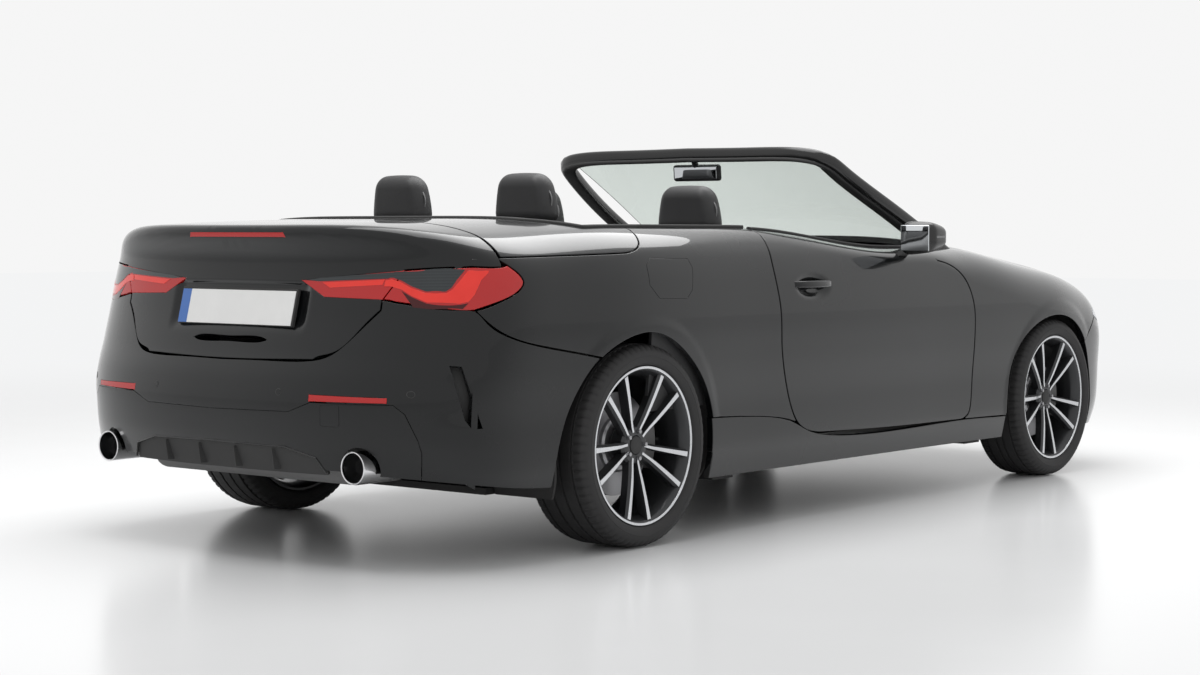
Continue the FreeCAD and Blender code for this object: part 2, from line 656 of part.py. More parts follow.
def build_floor():
    """Floor plate with its tunnel and sills, the bulkheads and walls, and the wheel houses."""
    r = rear_axle
    f = front_axle
    low = size("sill_height")
    thick = size("floor_thickness")
    wall = size("wall_thickness")
    cabin = size("cabin_half_width")
    tunnel = size("tunnel_half_width")
    sill = size("sill_box_half_width")
    half = [(r - 420, 590), (r + 420, 590), (r + 440, sill), (f - 440, sill),
            (f - 420, 405), (f + 420, 405), (f + 440, 690), (f + 600, 560)]
    plate = plan_prism(polygon(half + [(x, -y) for x, y in reversed(half)]), low, low + thick)
    walls = [
        profile_block([(f - 640, low + thick), (f - 640 + wall, low + thick), (f - 560 + wall, 640),
                       (f - 620 + wall, 890), (f - 620, 890), (f - 560, 640)], -cabin, cabin),
        profile_block([(r + 300, low + thick), (r + 300 + wall, low + thick), (r + 60 + wall, 960), (r + 60, 960)],
                      -cabin, cabin),
        block(r - 890, r + 212, -600, 600, boot_floor - wall, boot_floor),
        block(r - 900, r - 890 - rest_gap, -600, 600, 410, 600),
        block(f + 560, f + 570, -690, 690, low + thick, 640),
        block(f + 570, nose, -560, 560, 430, 520),
    ]
    floors = [block(r + 300, f - 640, -tunnel, tunnel, low, tunnel_top)]
    houses = []
    wells = []
    openings = []
    for side in SIDES.values():
        def slab(x0, x1, y0, y1, z0, z1, side=side):
            near, far = sorted((side * y0, side * y1))
            return block(x0, x1, near, far, z0, z1)
        floors.append(slab(r + 440, f - 440, cabin + wall, sill, low, 270))
        for x in (f - 560, r + 560):
            floors.append(slab(x - 60, x + 60, 745, 815, size("jacking_pad_height"), low + thick))
        walls.append(slab(f - 700, f - 640, cabin, 850, 270, 860))
        walls.append(slab(r + 510, r + 620, cabin, 850, 270, 960))
        walls.append(slab(r + 60, r + 620, cabin, cabin + wall, low + thick, 930))
        walls.append(slab(f - 640, f + 560, cabin, cabin + wall, low + thick, 760))
        walls.append(slab(tail, r - 380, cabin, cabin + wall, 330, 900))
        for x, near, radius, far in ((f, 490, size("front_house_radius"), 870),
                                     (r, 600, size("rear_house_radius"), 890)):
            middle = Vector(x, side * near, axle_z)
            houses.append(rod(radius + wall, middle, Vector(x, side * far, axle_z)))
            wells.append(rod(radius, Vector(x, side * (near + wall), axle_z), Vector(x, side * 1000, axle_z)))
        openings.append(slab(f - 190, f + 190, 480, 505, low, 520))
        openings.append(slab(r - 260, r + 290, 590, 615, low, 440))
    tunnel_space = block(r + 300 + 2 * wall, f - 650, wall - tunnel, tunnel - wall, 0, tunnel_top - wall)
    below = block(tail, nose, -FAR, FAR, 0, low)
    floor = one_solid(plate.fuse(floors).cut(wells + [tunnel_space]), "floor pan")
    arch = Part.makeCompound(houses).common(inner)
    arch = arch.cut(wells + openings + [below, floor, bonnet_cut] + door_cut)
    keep("floor_pan", floor)
    keep("wheel_houses", Part.makeCompound(sorted(arch.Solids, key=lambda solid: -solid.Volume)[:4]))
    panels = walls[0].fuse(walls[1:]).common(inner).cut(wells + [floor, arch, bonnet_cut] + door_cut)
    big = [solid for solid in panels.Solids if solid.Volume > 1e5]
    keep("bulkheads", Part.makeCompound(big))


def origin_plane(body, role):
    for feature in body.Origin.OriginFeatures:
        if feature.Role == role:
            return feature
    raise RuntimeError(f"no {role}")


def sketch_on(body, name, plane, edges, offset=0.0):
    """A sketch with lines and arcs joined end to end."""
    drawing = body.newObject("Sketcher::SketchObject", name)
    drawing.AttachmentSupport = [(origin_plane(body, plane), "")]
    drawing.MapMode = "FlatFace"
    drawing.AttachmentOffset = Placement(Vector(0, 0, offset), Rotation())
    drawing.addGeometry(edges, False)
    return drawing


def lines(points):
    flat = [Vector(a, b, 0) for a, b in points]
    return [Part.LineSegment(flat[i], flat[(i + 1) % len(flat)]) for i in range(len(flat))]


def revolve(body, name, edges, axis="V_Axis"):
    drawing = sketch_on(body, name + "Section", "XY_Plane", edges)
    turned = body.newObject("PartDesign::Revolution", name)
    turned.Profile = drawing
    turned.ReferenceAxis = (drawing, [axis])
    turned.Angle = 360
    body.Tip = turned
    return turned


def arc(a, b, c):
    return Part.Arc(Vector(a[0], a[1], 0), Vector(b[0], b[1], 0), Vector(c[0], c[1], 0))


def line(a, b):
    return Part.LineSegment(Vector(a[0], a[1], 0), Vector(b[0], b[1], 0))


def mirror(point):
    return (point[0], -point[1])


def wheel_place(x, y):
    turn = Rotation(Vector(0, 0, 1), 0 if y > 0 else 180)
    return Placement(Vector(x, y, axle_z), turn)


def build_wheel(corner, x, y, width):
    half = width / 2
    rim_half = half - 14
    r_rim = size("rim_radius")
    r_tyre = size("tyre_radius")
    tyre = doc.addObject("PartDesign::Body", f"Tyre_{corner}")
    tyre.Label = f"tyre_{corner}"
    bead = r_rim - 21.7
    seat = rim_half - 37
    shoulder = r_tyre - 22
    left = [(bead, seat), (r_rim - 10.6, rim_half - 16.6), (r_rim + 0.4, rim_half - 8.4), (r_rim + 3, rim_half - 4)]
    top = (r_rim + 3, rim_half - 4)
    bulge = ((r_rim + r_tyre) / 2, half)
    edge = (shoulder, half - 8)
    round_mid = (r_tyre - 6, half - 20)
    tread = (r_tyre - 1, half - 42)
    edges = [line(a, b) for a, b in zip(left, left[1:])] + [arc(top, bulge, edge), arc(edge, round_mid, tread)]
    edges.append(arc(tread, (r_tyre, 0), (tread[0], -tread[1])))
    edges += [arc(mirror(tread), mirror(round_mid), mirror(edge)), arc(mirror(edge), mirror(bulge), mirror(top)),
              line(mirror(left[0]), left[0])]
    edges += [line(mirror(b), mirror(a)) for a, b in zip(left, left[1:])]
    revolve(tyre, f"Tyre{corner}Turn", edges)
    tyre.Placement = wheel_place(x, y)
    SUBPARTS.append(tyre)

    rim = doc.addObject("PartDesign::Body", f"Rim_{corner}")
    rim.Label = f"rim_{corner}"
    h = rim_half
    outline = [(r_rim, h), (r_rim - 8, h), (r_rim - 18, h - 12), (r_rim - 30, h - 32), (r_rim - 30, 32 - h),
               (r_rim - 18, 12 - h), (r_rim - 8, -h), (r_rim, -h), (r_rim, 8 - h), (r_rim - 11, 16 - h),
               (r_rim - 22, 36 - h), (r_rim - 22, h - 36), (r_rim - 11, h - 16), (r_rim, h - 8)]
    revolve(rim, f"Rim{corner}Barrel", lines(outline))
    hub = size("hub_radius")
    revolve(rim, f"Rim{corner}Hub", lines([(0, h - 30), (hub - 18, h - 30), (hub, h - 42), (hub, h - 84),
                                           (hub + 12, h - 96), (hub + 12, -10), (0, -10)]))
    disc = size("disc_radius")
    half_disc = size("disc_thickness") / 2
    revolve(rim, f"Rim{corner}Disc", lines([(hub - 10, -18 + half_disc), (disc, -18 + half_disc),
                                            (disc, -18 - half_disc), (hub - 10, -18 - half_disc)]))
    spoke = []
    for tilt in (-12.2, 12.2):
        angle = math.radians(90 + tilt)
        out = Vector(math.cos(angle), math.sin(angle), 0)
        across = Vector(-math.sin(angle), math.cos(angle), 0)
        corners = [out * (hub - 8) + across * 9, out * (r_rim - 26) + across * 11,
                   out * (r_rim - 26) - across * 11, out * (hub - 8) - across * 9]
        spoke.append(lines([(p.x, p.y) for p in corners]))
    feature = None
    for index, edges in enumerate(spoke):
        drawing = sketch_on(rim, f"Rim{corner}Spoke{index}Outline", "XZ_Plane", edges, -(h - 52))
        pad = rim.newObject("PartDesign::Pad", f"Rim{corner}Spoke{index}")
        pad.Profile = drawing
        pad.Length = 36
        pad.Reversed = True
        rim.Tip = pad
        doc.recompute()
        pattern = rim.newObject("PartDesign::PolarPattern", f"Rim{corner}Spokes{index}")
        pattern.Originals = [pad]
        pattern.Axis = (drawing, ["N_Axis"])
        pattern.Angle = 360
        pattern.setExpression("Occurrences", "Sizes.spoke_pairs")
        rim.Tip = pattern
        doc.recompute()
    rim.Placement = wheel_place(x, y)
    SUBPARTS.append(rim)


def build_wheels():
    corners = [("front_left", front_axle, size("front_half_track"), size("front_tyre_width")),
               ("front_right", front_axle, -size("front_half_track"), size("front_tyre_width")),
               ("rear_left", rear_axle, size("rear_half_track"), size("rear_tyre_width")),
               ("rear_right", rear_axle, -size("rear_half_track"), size("rear_tyre_width"))]
    for corner, x, y, width in corners:
        build_wheel(corner, x, y, width)


def build_axles():
    f = front_axle
    r = rear_axle
    kingpin = size("kingpin_half_width")
    disc_in = size("disc_thickness") / 2 + 18
    ball = 110
    for name, side in SIDES.items():
        track = size("front_half_track")
        upright = rod(22, Vector(f, side * kingpin, axle_z - ball), Vector(f, side * kingpin, axle_z + ball))
        stub = rod(24, Vector(f, side * kingpin, axle_z), Vector(f, side * (track - 10.3), axle_z))
        y0, y1 = sorted((side * (track - disc_in - 32), side * (track + 6)))
        caliper = block(f - size("disc_radius") - 22, f - size("disc_radius") + 75, y0, y1, axle_z - 70, axle_z + 70)
        slot_y = sorted((side * (track - disc_in - 3), side * (track - 1)))
        slot = block(f - size("disc_radius") - 5, f + 5, *slot_y, axle_z - 90, axle_z + 90)
        ys = sorted((side * (kingpin - 12), side * (track - disc_in - 20)))
        arm = block(f - 150, f + 10, *ys, axle_z - 26, axle_z + 26)
        keep(f"knuckle_{name}", upright.fuse([stub, arm, caliper.cut(slot)]))
    pieces = [block(f - 140, f + 140, -440, 440, floor_top + rest_gap, 240), block(f - 60, f + 60, -440, 440, floor_top + rest_gap, beam_top)]
    for side in SIDES.values():
        y0, y1 = sorted((side * 400, side * 440))
        pieces.append(block(f - 140, f + 140, y0, y1, floor_top + rest_gap, axle_z + ball + 50))
        for up in (-1, 1):
            joint = Vector(f, side * kingpin, axle_z + up * (ball + 14.3))
            for dx in (-120, 120):
                pieces.append(rod(13, Vector(f + dx, side * 430, joint.z), joint))
            pieces.append(rod(20, Vector(f, side * kingpin, axle_z + up * (ball + 28.6)),
                              Vector(f, side * kingpin, axle_z + up * (ball + 0.3))))
    keep("front_axle", pieces[0].fuse(pieces[1:]))
    track = size("rear_half_track")
    pieces = []
    for side in SIDES.values():
        hub_face = side * (track - disc_in - 3)
        carrier = side * (track - disc_in - 40)
        pieces.append(rod(24, Vector(r, side * 90, axle_z), Vector(r, side * (track - 10.3), axle_z)))
        pieces.append(rod(70, Vector(r, side * (track - disc_in - 60), axle_z), Vector(r, hub_face, axle_z)))
        pieces.append(rod(16, Vector(r + 250, side * 420, 240), Vector(r, carrier, axle_z - 60)))
        pieces.append(rod(16, Vector(r - 200, side * 420, 250), Vector(r, carrier, axle_z - 60)))
    housing = rod(110, Vector(r, -100, axle_z), Vector(r, 100, axle_z))
    cross = block(r - 230, r + 262, -440, 440, floor_top + rest_gap, 262)
    keep("rear_axle", housing.fuse([cross] + pieces))


def build_engine():
    engine = doc.addObject("Part::Box", "Engine")
    engine.Label = "engine"
    engine.setExpression("Length", "Sizes.engine_length")
    engine.setExpression("Width", "Sizes.engine_width")
    engine.setExpression("Height", "Sizes.engine_height")
    engine.Placement.Base = Vector(front_axle - 390, -size("engine_width") / 2, beam_top + rest_gap)
    SUBPARTS.append(engine)


def seat_shape(x_hip, y, width, cushion, back_top, recline, head_top, head_width):
    """Cushion, reclined backrest and headrest on two posts."""
    lean = math.tan(math.radians(recline))
    x_top = x_hip - (back_top - 420) * lean
    under = tunnel_top + rest_gap
    base = prism(polygon([(x_hip - 60, under), (x_hip - 20, 450), (x_hip + cushion - 60, 500),
                          (x_hip + cushion, 470), (x_hip + cushion - 20, under)]),
                 lambda a, b: Vector(a, y - width / 2, b), Vector(0, width, 0))
    back = prism(polygon([(x_hip - 60, 360), (x_hip - 100, 480), (x_top - 105, back_top - 30),
                          (x_top - 60, back_top), (x_top - 20, back_top - 15), (x_hip + 60, 480)]),
                 lambda a, b: Vector(a, y - width / 2 + 15, b), Vector(0, width - 30, 0))
    x_head = x_top - 62
    head = block(x_head - 45, x_head + 45, y - head_width / 2, y + head_width / 2, head_top - 150, head_top)
    head = head.makeFillet(25, head.Edges)
    posts = [rod(7, Vector(x_head, y + dy, back_top - 60), Vector(x_head, y + dy, head_top - 100))
             for dy in (-60, 60)]
    return base.fuse([back, head] + posts)


def build_seats():
    f = front_axle
    r = rear_axle
    width = size("seat_width")
    for name, side in SIDES.items():
        y = side * size("seat_half_spacing")
        seat = seat_shape(f - 1580, y, width, 500, 1030, 22, 1192, 260)
        rails = block(f - 1600, f - 1180, y - 150, y + 150, floor_top + rest_gap, tunnel_top + 10)
        keep(f"seat_front_{name}", seat.fuse(rails).removeSplitter())
    spacing = size("rear_seat_half_spacing")
    halves = [seat_shape(r + 370, side * spacing, 2 * spacing - 0.6, 420, 1040, 16, 1222, 244)
              for side in SIDES.values()]
    feet = [block(r + 340, r + 700, *sorted((side * 160, side * spacing)), floor_top + rest_gap, 340) for side in SIDES.values()]
    rear = halves[0].fuse([halves[1]] + feet)
    keep("seat_rear", rear.removeSplitter())


def build_cabin():
    f = front_axle
    cabin = size("cabin_half_width") - 1
    dash = prism(polygon([(f - 640, 880), (f - 700, 925), (f - 930, 925), (f - 1130, 905), (f - 1160, 850),
                          (f - 1140, 760), (f - 1060, 640), (f - 700, 560), (f - 575, 640)]),
                 lambda a, b: Vector(a, -cabin, b), Vector(0, 2 * cabin, 0))
    beam = rod(25, Vector(f - 670, -cabin - 0.7, 700), Vector(f - 670, cabin + 0.7, 700))
    keep("dashboard", dash.fuse(beam))
    console = prism(polygon([(f - 1900, tunnel_top + rest_gap), (f - 1900, 520), (f - 1550, 560), (f - 1300, 520),
                             (f - 1090, 600), (f - 1060, 635), (f - 700, 555), (f - 700, tunnel_top + rest_gap)]),
                    lambda a, b: Vector(a, -105, b), Vector(0, 210, 0))
    keep("console", console)
    centre = Vector(f - 1270, size("seat_half_spacing"), 800)
    tilt = math.radians(24)
    axis = Vector(math.cos(tilt), 0, -math.sin(tilt))
    ring = Part.makeTorus(size("steering_wheel_radius"), size("steering_rim_radius"), centre, axis)
    hub = rod(70, centre - axis * 5, centre + axis * 55)
    up = Vector(math.sin(tilt), 0, math.cos(tilt))
    spokes = []
    for angle in (0, 180, 270):
        a = math.radians(angle)
        radial = Vector(0, math.cos(a), 0) + up * math.sin(a)
        spokes.append(rod(11, centre + axis * 15, centre + radial * size("steering_wheel_radius")))
    keep("steering_wheel", ring.fuse([hub] + spokes).removeSplitter())
    column = rod(38, centre + axis * 55.3, centre + axis * 200)
    keep("steering_column", column.cut(dash))
    mirror = block(f - 1345, f - 1320, -110, 110, 1225, 1290)
    mirror = mirror.makeFillet(9, mirror.Edges)
    stem = rod(8, Vector(f - 1330, 0, 1275), Vector(f - 1368, 0, 1312))
    keep("rear_view_mirror", one_solid(mirror.fuse(stem).cut(FITTED["screen"]), "mirror"))


def build_mirrors():
    f = front_axle
    for name, side in SIDES.items():
        reach = size("mirror_reach")
        y0, y1 = sorted((side * (reach - 190), side * reach))
        housing = block(f - 1265, f - 1090, y0, y1, 935, 1065)
        housing = housing.makeFillet(38, housing.Edges)
        foot = rod(22, Vector(f - 1180, side * 840, 905), Vector(f - 1180, side * (reach - 110), 985))
        keep(f"mirror_{name}", one_solid(housing.fuse(foot).cut(outer), "mirror"))


def build_exhaust():
    pieces = []
    spacing = size("tailpipe_spacing")
    radius = size("tailpipe_radius")
    height = size("tailpipe_height")
    box = block(tail + 150, tail + 420, -480, 480, 240, 400)
    box = box.makeFillet(50, box.Edges)
    for side in SIDES.values():
        y = side * spacing
        tip = rod(radius, Vector(tail + 12, y, height), Vector(tail + 190, y, height))
        pieces.append(tip.cut(rod(radius - 4, Vector(tail, y, height), Vector(tail + 170, y, height))))
        pieces.append(rod(28, Vector(tail + 180, y, height), Vector(tail + 230, side * 420, height)))
        hanger = Vector(tail + 280, side * 300, 390)
        pieces.append(rod(8, hanger, Vector(hanger.x, hanger.y, boot_floor - size("wall_thickness") - rest_gap)))
    keep("exhaust", box.fuse(pieces))


def build_plate():
    centre = Vector(tail + 96, 0, 785)
    plate = Part.makeBox(40, size("plate_length"), size("plate_height"),
                         Vector(0, -size("plate_length") / 2, -size("plate_height") / 2))
    plate.rotate(Vector(0, 0, 0), Vector(0, 1, 0), 9.8)
    plate.translate(centre)
    keep("number_plate", one_solid(plate.cut(outer), "number plate"))


for build in [build_doors, build_fenders, build_quarters, build_lids, build_bumpers, build_lamps,
              build_sills, build_cowl, build_windscreen, build_floor, build_wheels, build_axles,
              build_engine, build_seats, build_cabin, build_mirrors, build_exhaust, build_plate]:
    build()

doc.recompute()
os.makedirs("parts", exist_ok=True)
for part in SUBPARTS:
    if "Invalid" in part.State or "Error" in part.State:
        raise RuntimeError(f"{part.Label} failed")
    if part.Shape.isNull() or not part.Shape.isValid():
        raise RuntimeError(f"{part.Label} has no valid shape")
    part.Shape.exportStep(f"parts/{part.Label}.step")
    print(part.Label, round(part.Shape.Volume / 1e6, 2), len(part.Shape.Solids), len(part.Shape.Faces))
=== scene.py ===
import math

import bmesh
import bpy
import numpy as np
from mathutils import Matrix, Vector
from mathutils.geometry import delaunay_2d_cdt
from mathutils.kdtree import KDTree


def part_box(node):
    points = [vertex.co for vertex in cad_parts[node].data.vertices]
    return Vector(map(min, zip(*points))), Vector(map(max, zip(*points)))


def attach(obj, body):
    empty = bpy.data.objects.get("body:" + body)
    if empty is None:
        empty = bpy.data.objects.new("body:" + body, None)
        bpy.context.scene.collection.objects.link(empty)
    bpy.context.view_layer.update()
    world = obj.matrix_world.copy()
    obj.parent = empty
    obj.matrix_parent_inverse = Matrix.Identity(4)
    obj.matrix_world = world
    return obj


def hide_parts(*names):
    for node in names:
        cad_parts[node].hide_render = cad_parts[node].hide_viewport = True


bl_info = {
    "name": "Convertible Car Finish",
    "version": (1, 0, 0),
    "blender": (4, 5, 0),
    "location": "View3D > Sidebar > Convertible",
    "description": "Builds the finished convertible car round its packed frame",
    "category": "Object",
}

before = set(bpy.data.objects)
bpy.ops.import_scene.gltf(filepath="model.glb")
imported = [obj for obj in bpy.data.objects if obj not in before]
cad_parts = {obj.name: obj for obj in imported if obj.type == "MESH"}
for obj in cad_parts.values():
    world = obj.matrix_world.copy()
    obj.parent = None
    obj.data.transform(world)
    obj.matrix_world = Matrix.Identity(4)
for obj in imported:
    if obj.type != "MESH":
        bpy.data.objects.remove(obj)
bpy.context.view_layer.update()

# Body form, in millimetres: X forward, Y left, Z up, origin under mid-length. F and R are the axles' X.

MM = 0.001
TAIL = -2357.5
NOSE = 2357.5
R = -1317.5
F = 1533.5
HALF_WIDTH = 926
DECK = 1055
BELT = 1070
REAR_CORNER = R - 325
FRONT_CORNER = F + 280
TAIL_POWER = 5.2
NOSE_POWER = 3.6
FRONT_SIDE_POWER = 2.6
REAR_SIDE_POWER = 2.3
CROWN_REACH = 880
AXLE_Z = 331
INSIDE_Z = 560.0  # a level inside the body, from which rays go up
SIDES = (("left", 1), ("right", -1))


def table_curve(rows, soft):
    """A table read as a smooth curve: monotone cubic, then rounded over a distance."""
    xs = np.array([row[0] for row in rows], float)
    ys = np.array([row[1] for row in rows], float)
    steps = np.diff(ys) / np.diff(xs)
    inner = [0.0 if a * b <= 0 else 2 * a * b / (a + b) for a, b in zip(steps, steps[1:])]
    slopes = np.array([steps[0]] + inner + [steps[-1]])
    fine = np.arange(xs[0] - 400, xs[-1] + 400, 2.0)
    at = np.clip(fine, xs[0], xs[-1])
    i = np.clip(np.searchsorted(xs, at, side="right") - 1, 0, len(xs) - 2)
    span = xs[i + 1] - xs[i]
    u = (at - xs[i]) / span
    rise = ys[i + 1] - ys[i]
    a = slopes[i] * span - rise
    b = rise - slopes[i + 1] * span
    values = ys[i] + u * rise + u * (1 - u) * (a * (1 - u) + b * u)
    values += np.minimum(fine - xs[0], 0) * slopes[0] + np.maximum(fine - xs[-1], 0) * slopes[-1]
    reach = int(3 * soft / 2)
    weights = np.exp(-0.5 * (np.arange(-reach, reach + 1) * 2.0 / soft) ** 2)
    padded = np.concatenate([np.full(reach, values[0]), values, np.full(reach, values[-1])])
    return fine, np.convolve(padded, weights / weights.sum(), mode="valid")


def read(curve, at):
    """A curve's value at one or more places."""
    return np.interp(at, curve[0], curve[1])


def eased(share):
    """A share from 0 to 1 with soft ends."""
    return share * share * (3 - 2 * share)


PLAN = table_curve([
    (TAIL, 0.955), (R - 450, 0.977), (R, 1.0), (R + 700, 0.984), (F - 1000, 0.977),
    (F - 300, 0.987), (F, 0.991), (F + 350, 0.957), (NOSE, 0.90)], 60)
SIDE = table_curve([
    (150, 0.945), (190, 0.956), (300, 0.977), (420, 0.977), (600, 0.991), (730, 1.0), (850, 0.988),
    (950, 0.955), (1000, 0.913), (1120, 0.80)], 16)
TAIL_END = table_curve([
    (150, 100), (230, 62), (300, 32), (400, 6), (500, 0), (560, 12), (660, 60), (785, 105),
    (930, 128), (1020, 95), (1120, 85)], 9)
NOSE_END = table_curve([
    (150, 170), (200, 100), (250, 60), (330, 20), (420, 2), (500, 0), (600, 30), (680, 75),
    (780, 150), (900, 260), (1120, 450)], 14)
CREST = table_curve([
    (TAIL, DECK - 20), (TAIL + 330, DECK), (R, DECK + 15), (R + 730, BELT), (F - 1190, 1006),
    (F - 675, 1010), (F - 260, 985), (F + 180, 935), (F + 450, 872), (F + 600, 822),
    (NOSE - 60, 735), (NOSE, 700)], 50)
DROP = table_curve([
    (TAIL, 108), (R - 480, 102), (R, 72), (F - 950, 74), (F - 500, 95), (F, 128),
    (NOSE, 128)], 60)
CROWN_POWER = table_curve([
    (TAIL, 5.0), (R + 700, 5.0), (F - 900, 4.0), (F - 200, 3.0), (NOSE, 2.6)], 60)
ROUNDING = table_curve([
    (TAIL, 22), (TAIL + 120, 30), (R - 500, 60), (R + 50, 40), (R + 500, 26), (F - 1000, 26),
    (F - 700, 90), (F, 130), (F + 500, 160), (NOSE, 160)], 60)


def wall_field(p):
    """Below zero inside the body's side and end walls."""
    x, y, z = p[:, 0], np.abs(p[:, 1]), p[:, 2]
    half = HALF_WIDTH * read(PLAN, x) * read(SIDE, z)
    behind = (REAR_CORNER - x) / (REAR_CORNER - TAIL - read(TAIL_END, z))
    ahead = (x - FRONT_CORNER) / (NOSE - read(NOSE_END, z) - FRONT_CORNER)
    ends = np.maximum(behind, 0) ** TAIL_POWER + np.maximum(ahead, 0) ** NOSE_POWER
    power = np.where(x > 0, FRONT_SIDE_POWER, REAR_SIDE_POWER)
    return ends + (y / half) ** power - 1


def top_field(p):
    """Below zero under the body's crowned top."""
    x, y = p[:, 0], np.abs(p[:, 1])
    return p[:, 2] - read(CREST, x) + read(DROP, x) * (y / CROWN_REACH) ** read(CROWN_POWER, x)


def as_distance(field, p):
    """The field over the length of its gradient, which is a distance near its surface."""
    here = field(p)
    slope = np.stack([field(p + step) - here for step in np.eye(3) * 0.5], axis=1) / 0.5
    return here / np.maximum(np.linalg.norm(slope, axis=1), 1e-6)


def body_field(p):
    """Below zero inside the body, whose walls and top meet in a rounded shoulder."""
    wall = as_distance(wall_field, p)
    top = as_distance(top_field, p)
    soft = read(ROUNDING, p[:, 0])
    near = np.maximum(soft - np.abs(wall - top), 0) / soft
    return np.maximum(wall, top) + near * near * soft / 4


def strike(origin, way, reach):
    """Where rays that start inside the body come out of it."""
    low = np.zeros(len(origin))
    high = np.full(len(origin), float(reach))
    for _ in range(22):
        middle = (low + high) / 2
        inside = body_field(origin + way * middle[:, None]) < 0
        low = np.where(inside, middle, low)
        high = np.where(inside, high, middle)
    return origin + way * high[:, None]


# Ways to spread the body's surface flat: each turns (u, v) into a ray, which comes out within its reach.

class Roll:
    """Round a line along the car inside its left side: X, and the angle up over the shoulder."""
    y = 500.0
    z = 700.0
    scale = 450.0
    reach = 900

    def aim(self, uv):
        turn = uv[:, 1] / self.scale
        zeros = np.zeros(len(uv))
        origin = np.stack([uv[:, 0], zeros + self.y, zeros + self.z], 1)
        return origin, np.stack([zeros, np.cos(turn), np.sin(turn)], 1)

    def find(self, p):
        return np.stack([p[:, 0], np.arctan2(p[:, 2] - self.z, p[:, 1] - self.y) * self.scale], 1)


class Ring:
    """Round an upright line inside one end of the car: the angle, and Z."""
    scale = 800.0
    reach = 1300

    def __init__(self, x, facing):
        self.x = x
        self.facing = facing

    def aim(self, uv):
        turn = uv[:, 0] / self.scale
        zeros = np.zeros(len(uv))
        origin = np.stack([zeros + self.x, zeros, uv[:, 1]], 1)
        return origin, np.stack([self.facing * np.cos(turn), np.sin(turn), zeros], 1)

    def find(self, p):
        turn = np.arctan2(p[:, 1], self.facing * (p[:, 0] - self.x))
        return np.stack([turn * self.scale, p[:, 2]], 1)


class Fold:
    """Round a line across the car inside the boot: Y, and the angle up over the lid's lip."""
    x = R - 668
    z = 760.0
    scale = 320.0
    reach = 700

    def aim(self, uv):
        turn = uv[:, 1] / self.scale
        zeros = np.zeros(len(uv))
        origin = np.stack([zeros + self.x, uv[:, 0], zeros + self.z], 1)
        return origin, np.stack([-np.cos(turn), zeros, np.sin(turn)], 1)

    def find(self, p):
        return np.stack([p[:, 1], np.arctan2(p[:, 2] - self.z, self.x - p[:, 0]) * self.scale], 1)


class Above:
    """Straight down on the car: X and Y."""
    reach = 700

    def aim(self, uv):
        count = len(uv)
        origin = np.stack([uv[:, 0], uv[:, 1], np.full(count, INSIDE_Z)], 1)
        return origin, np.tile([0.0, 0.0, 1.0], (count, 1))

    def find(self, p):
        return p[:, :2].copy()


class Hoop:
    """Round the centre line of the car: X, and the angle from upright towards the left."""
    z = 450.0
    scale = 600.0
    reach = 1300

    def aim(self, uv):
        turn = uv[:, 1] / self.scale
        zeros = np.zeros(len(uv))
        origin = np.stack([uv[:, 0], zeros, zeros + self.z], 1)
        return origin, np.stack([zeros, np.sin(turn), np.cos(turn)], 1)

    def find(self, p):
        return np.stack([p[:, 0], np.arctan2(p[:, 1], p[:, 2] - self.z) * self.scale], 1)


HOOP = Hoop()
ROLL = Roll()
REAR_RING = Ring(R - 200, -1)
FRONT_RING = Ring(F + 100, 1)
FOLD = Fold()
ABOVE = Above()
LINE_PITCH = 10


def through(points, pitch, straight=False):
    """Points along a smooth line through the given ones, about a pitch apart."""
    points = np.array(points, float)
    if len(points) == 2 or straight:
        rows = []
        for a, b in zip(points, points[1:]):
            count = max(1, int(np.linalg.norm(b - a) / pitch))
            rows.append(a + (b - a) * np.linspace(0, 1, count, endpoint=False)[:, None])
        return np.concatenate(rows + [points[-1:]])
    knots = np.concatenate([[0], np.cumsum(np.linalg.norm(np.diff(points, axis=0), axis=1) ** 0.7)])
    count = len(points)
    steps = np.diff(knots)
    system = np.eye(count)
    right = np.zeros((count, points.shape[1]))
    for i in range(1, count - 1):
        system[i, i - 1:i + 2] = [steps[i - 1], 2 * (steps[i - 1] + steps[i]), steps[i]]
        right[i] = 6 * ((points[i + 1] - points[i]) / steps[i] - (points[i] - points[i - 1]) / steps[i - 1])
    bend = np.linalg.solve(system, right)
    rows = []
    for i in range(count - 1):
        share = max(2, int(np.linalg.norm(points[i + 1] - points[i]) / pitch))
        t = np.linspace(0, 1, share, endpoint=False)[:, None]
        a = 1 - t
        h = steps[i]
        rows.append(a * points[i] + t * points[i + 1]
                    + h * h / 6 * ((a ** 3 - a) * bend[i] + (t ** 3 - t) * bend[i + 1]))
    return np.concatenate(rows + [points[-1:]])


def on_side(points, straight=False):
    """A line seen from the side, X and Z, laid on the body's left side."""
    flat = through(points, LINE_PITCH, straight)
    origin = np.stack([flat[:, 0], np.zeros(len(flat)), flat[:, 1]], 1)
    return strike(origin, np.tile([0.0, 1.0, 0.0], (len(flat), 1)), reach=1200)


def on_top(points, straight=False):
    """A line seen from above, X and Y, laid on the body's top."""
    flat = through(points, LINE_PITCH, straight)
    origin = np.stack([flat[:, 0], flat[:, 1], np.full(len(flat), INSIDE_Z)], 1)
    return strike(origin, np.tile([0.0, 0.0, 1.0], (len(flat), 1)), reach=700)


def on_end(points, facing, straight=False):
    """A line seen from behind or from the front, Y and Z, laid on that end."""
    flat = through(points, LINE_PITCH, straight)
    start = R - 450 if facing < 0 else F + 150
    origin = np.stack([np.full(len(flat), start), flat[:, 0], flat[:, 1]], 1)
    return strike(origin, np.tile([float(facing), 0.0, 0.0], (len(flat), 1)), reach=800)


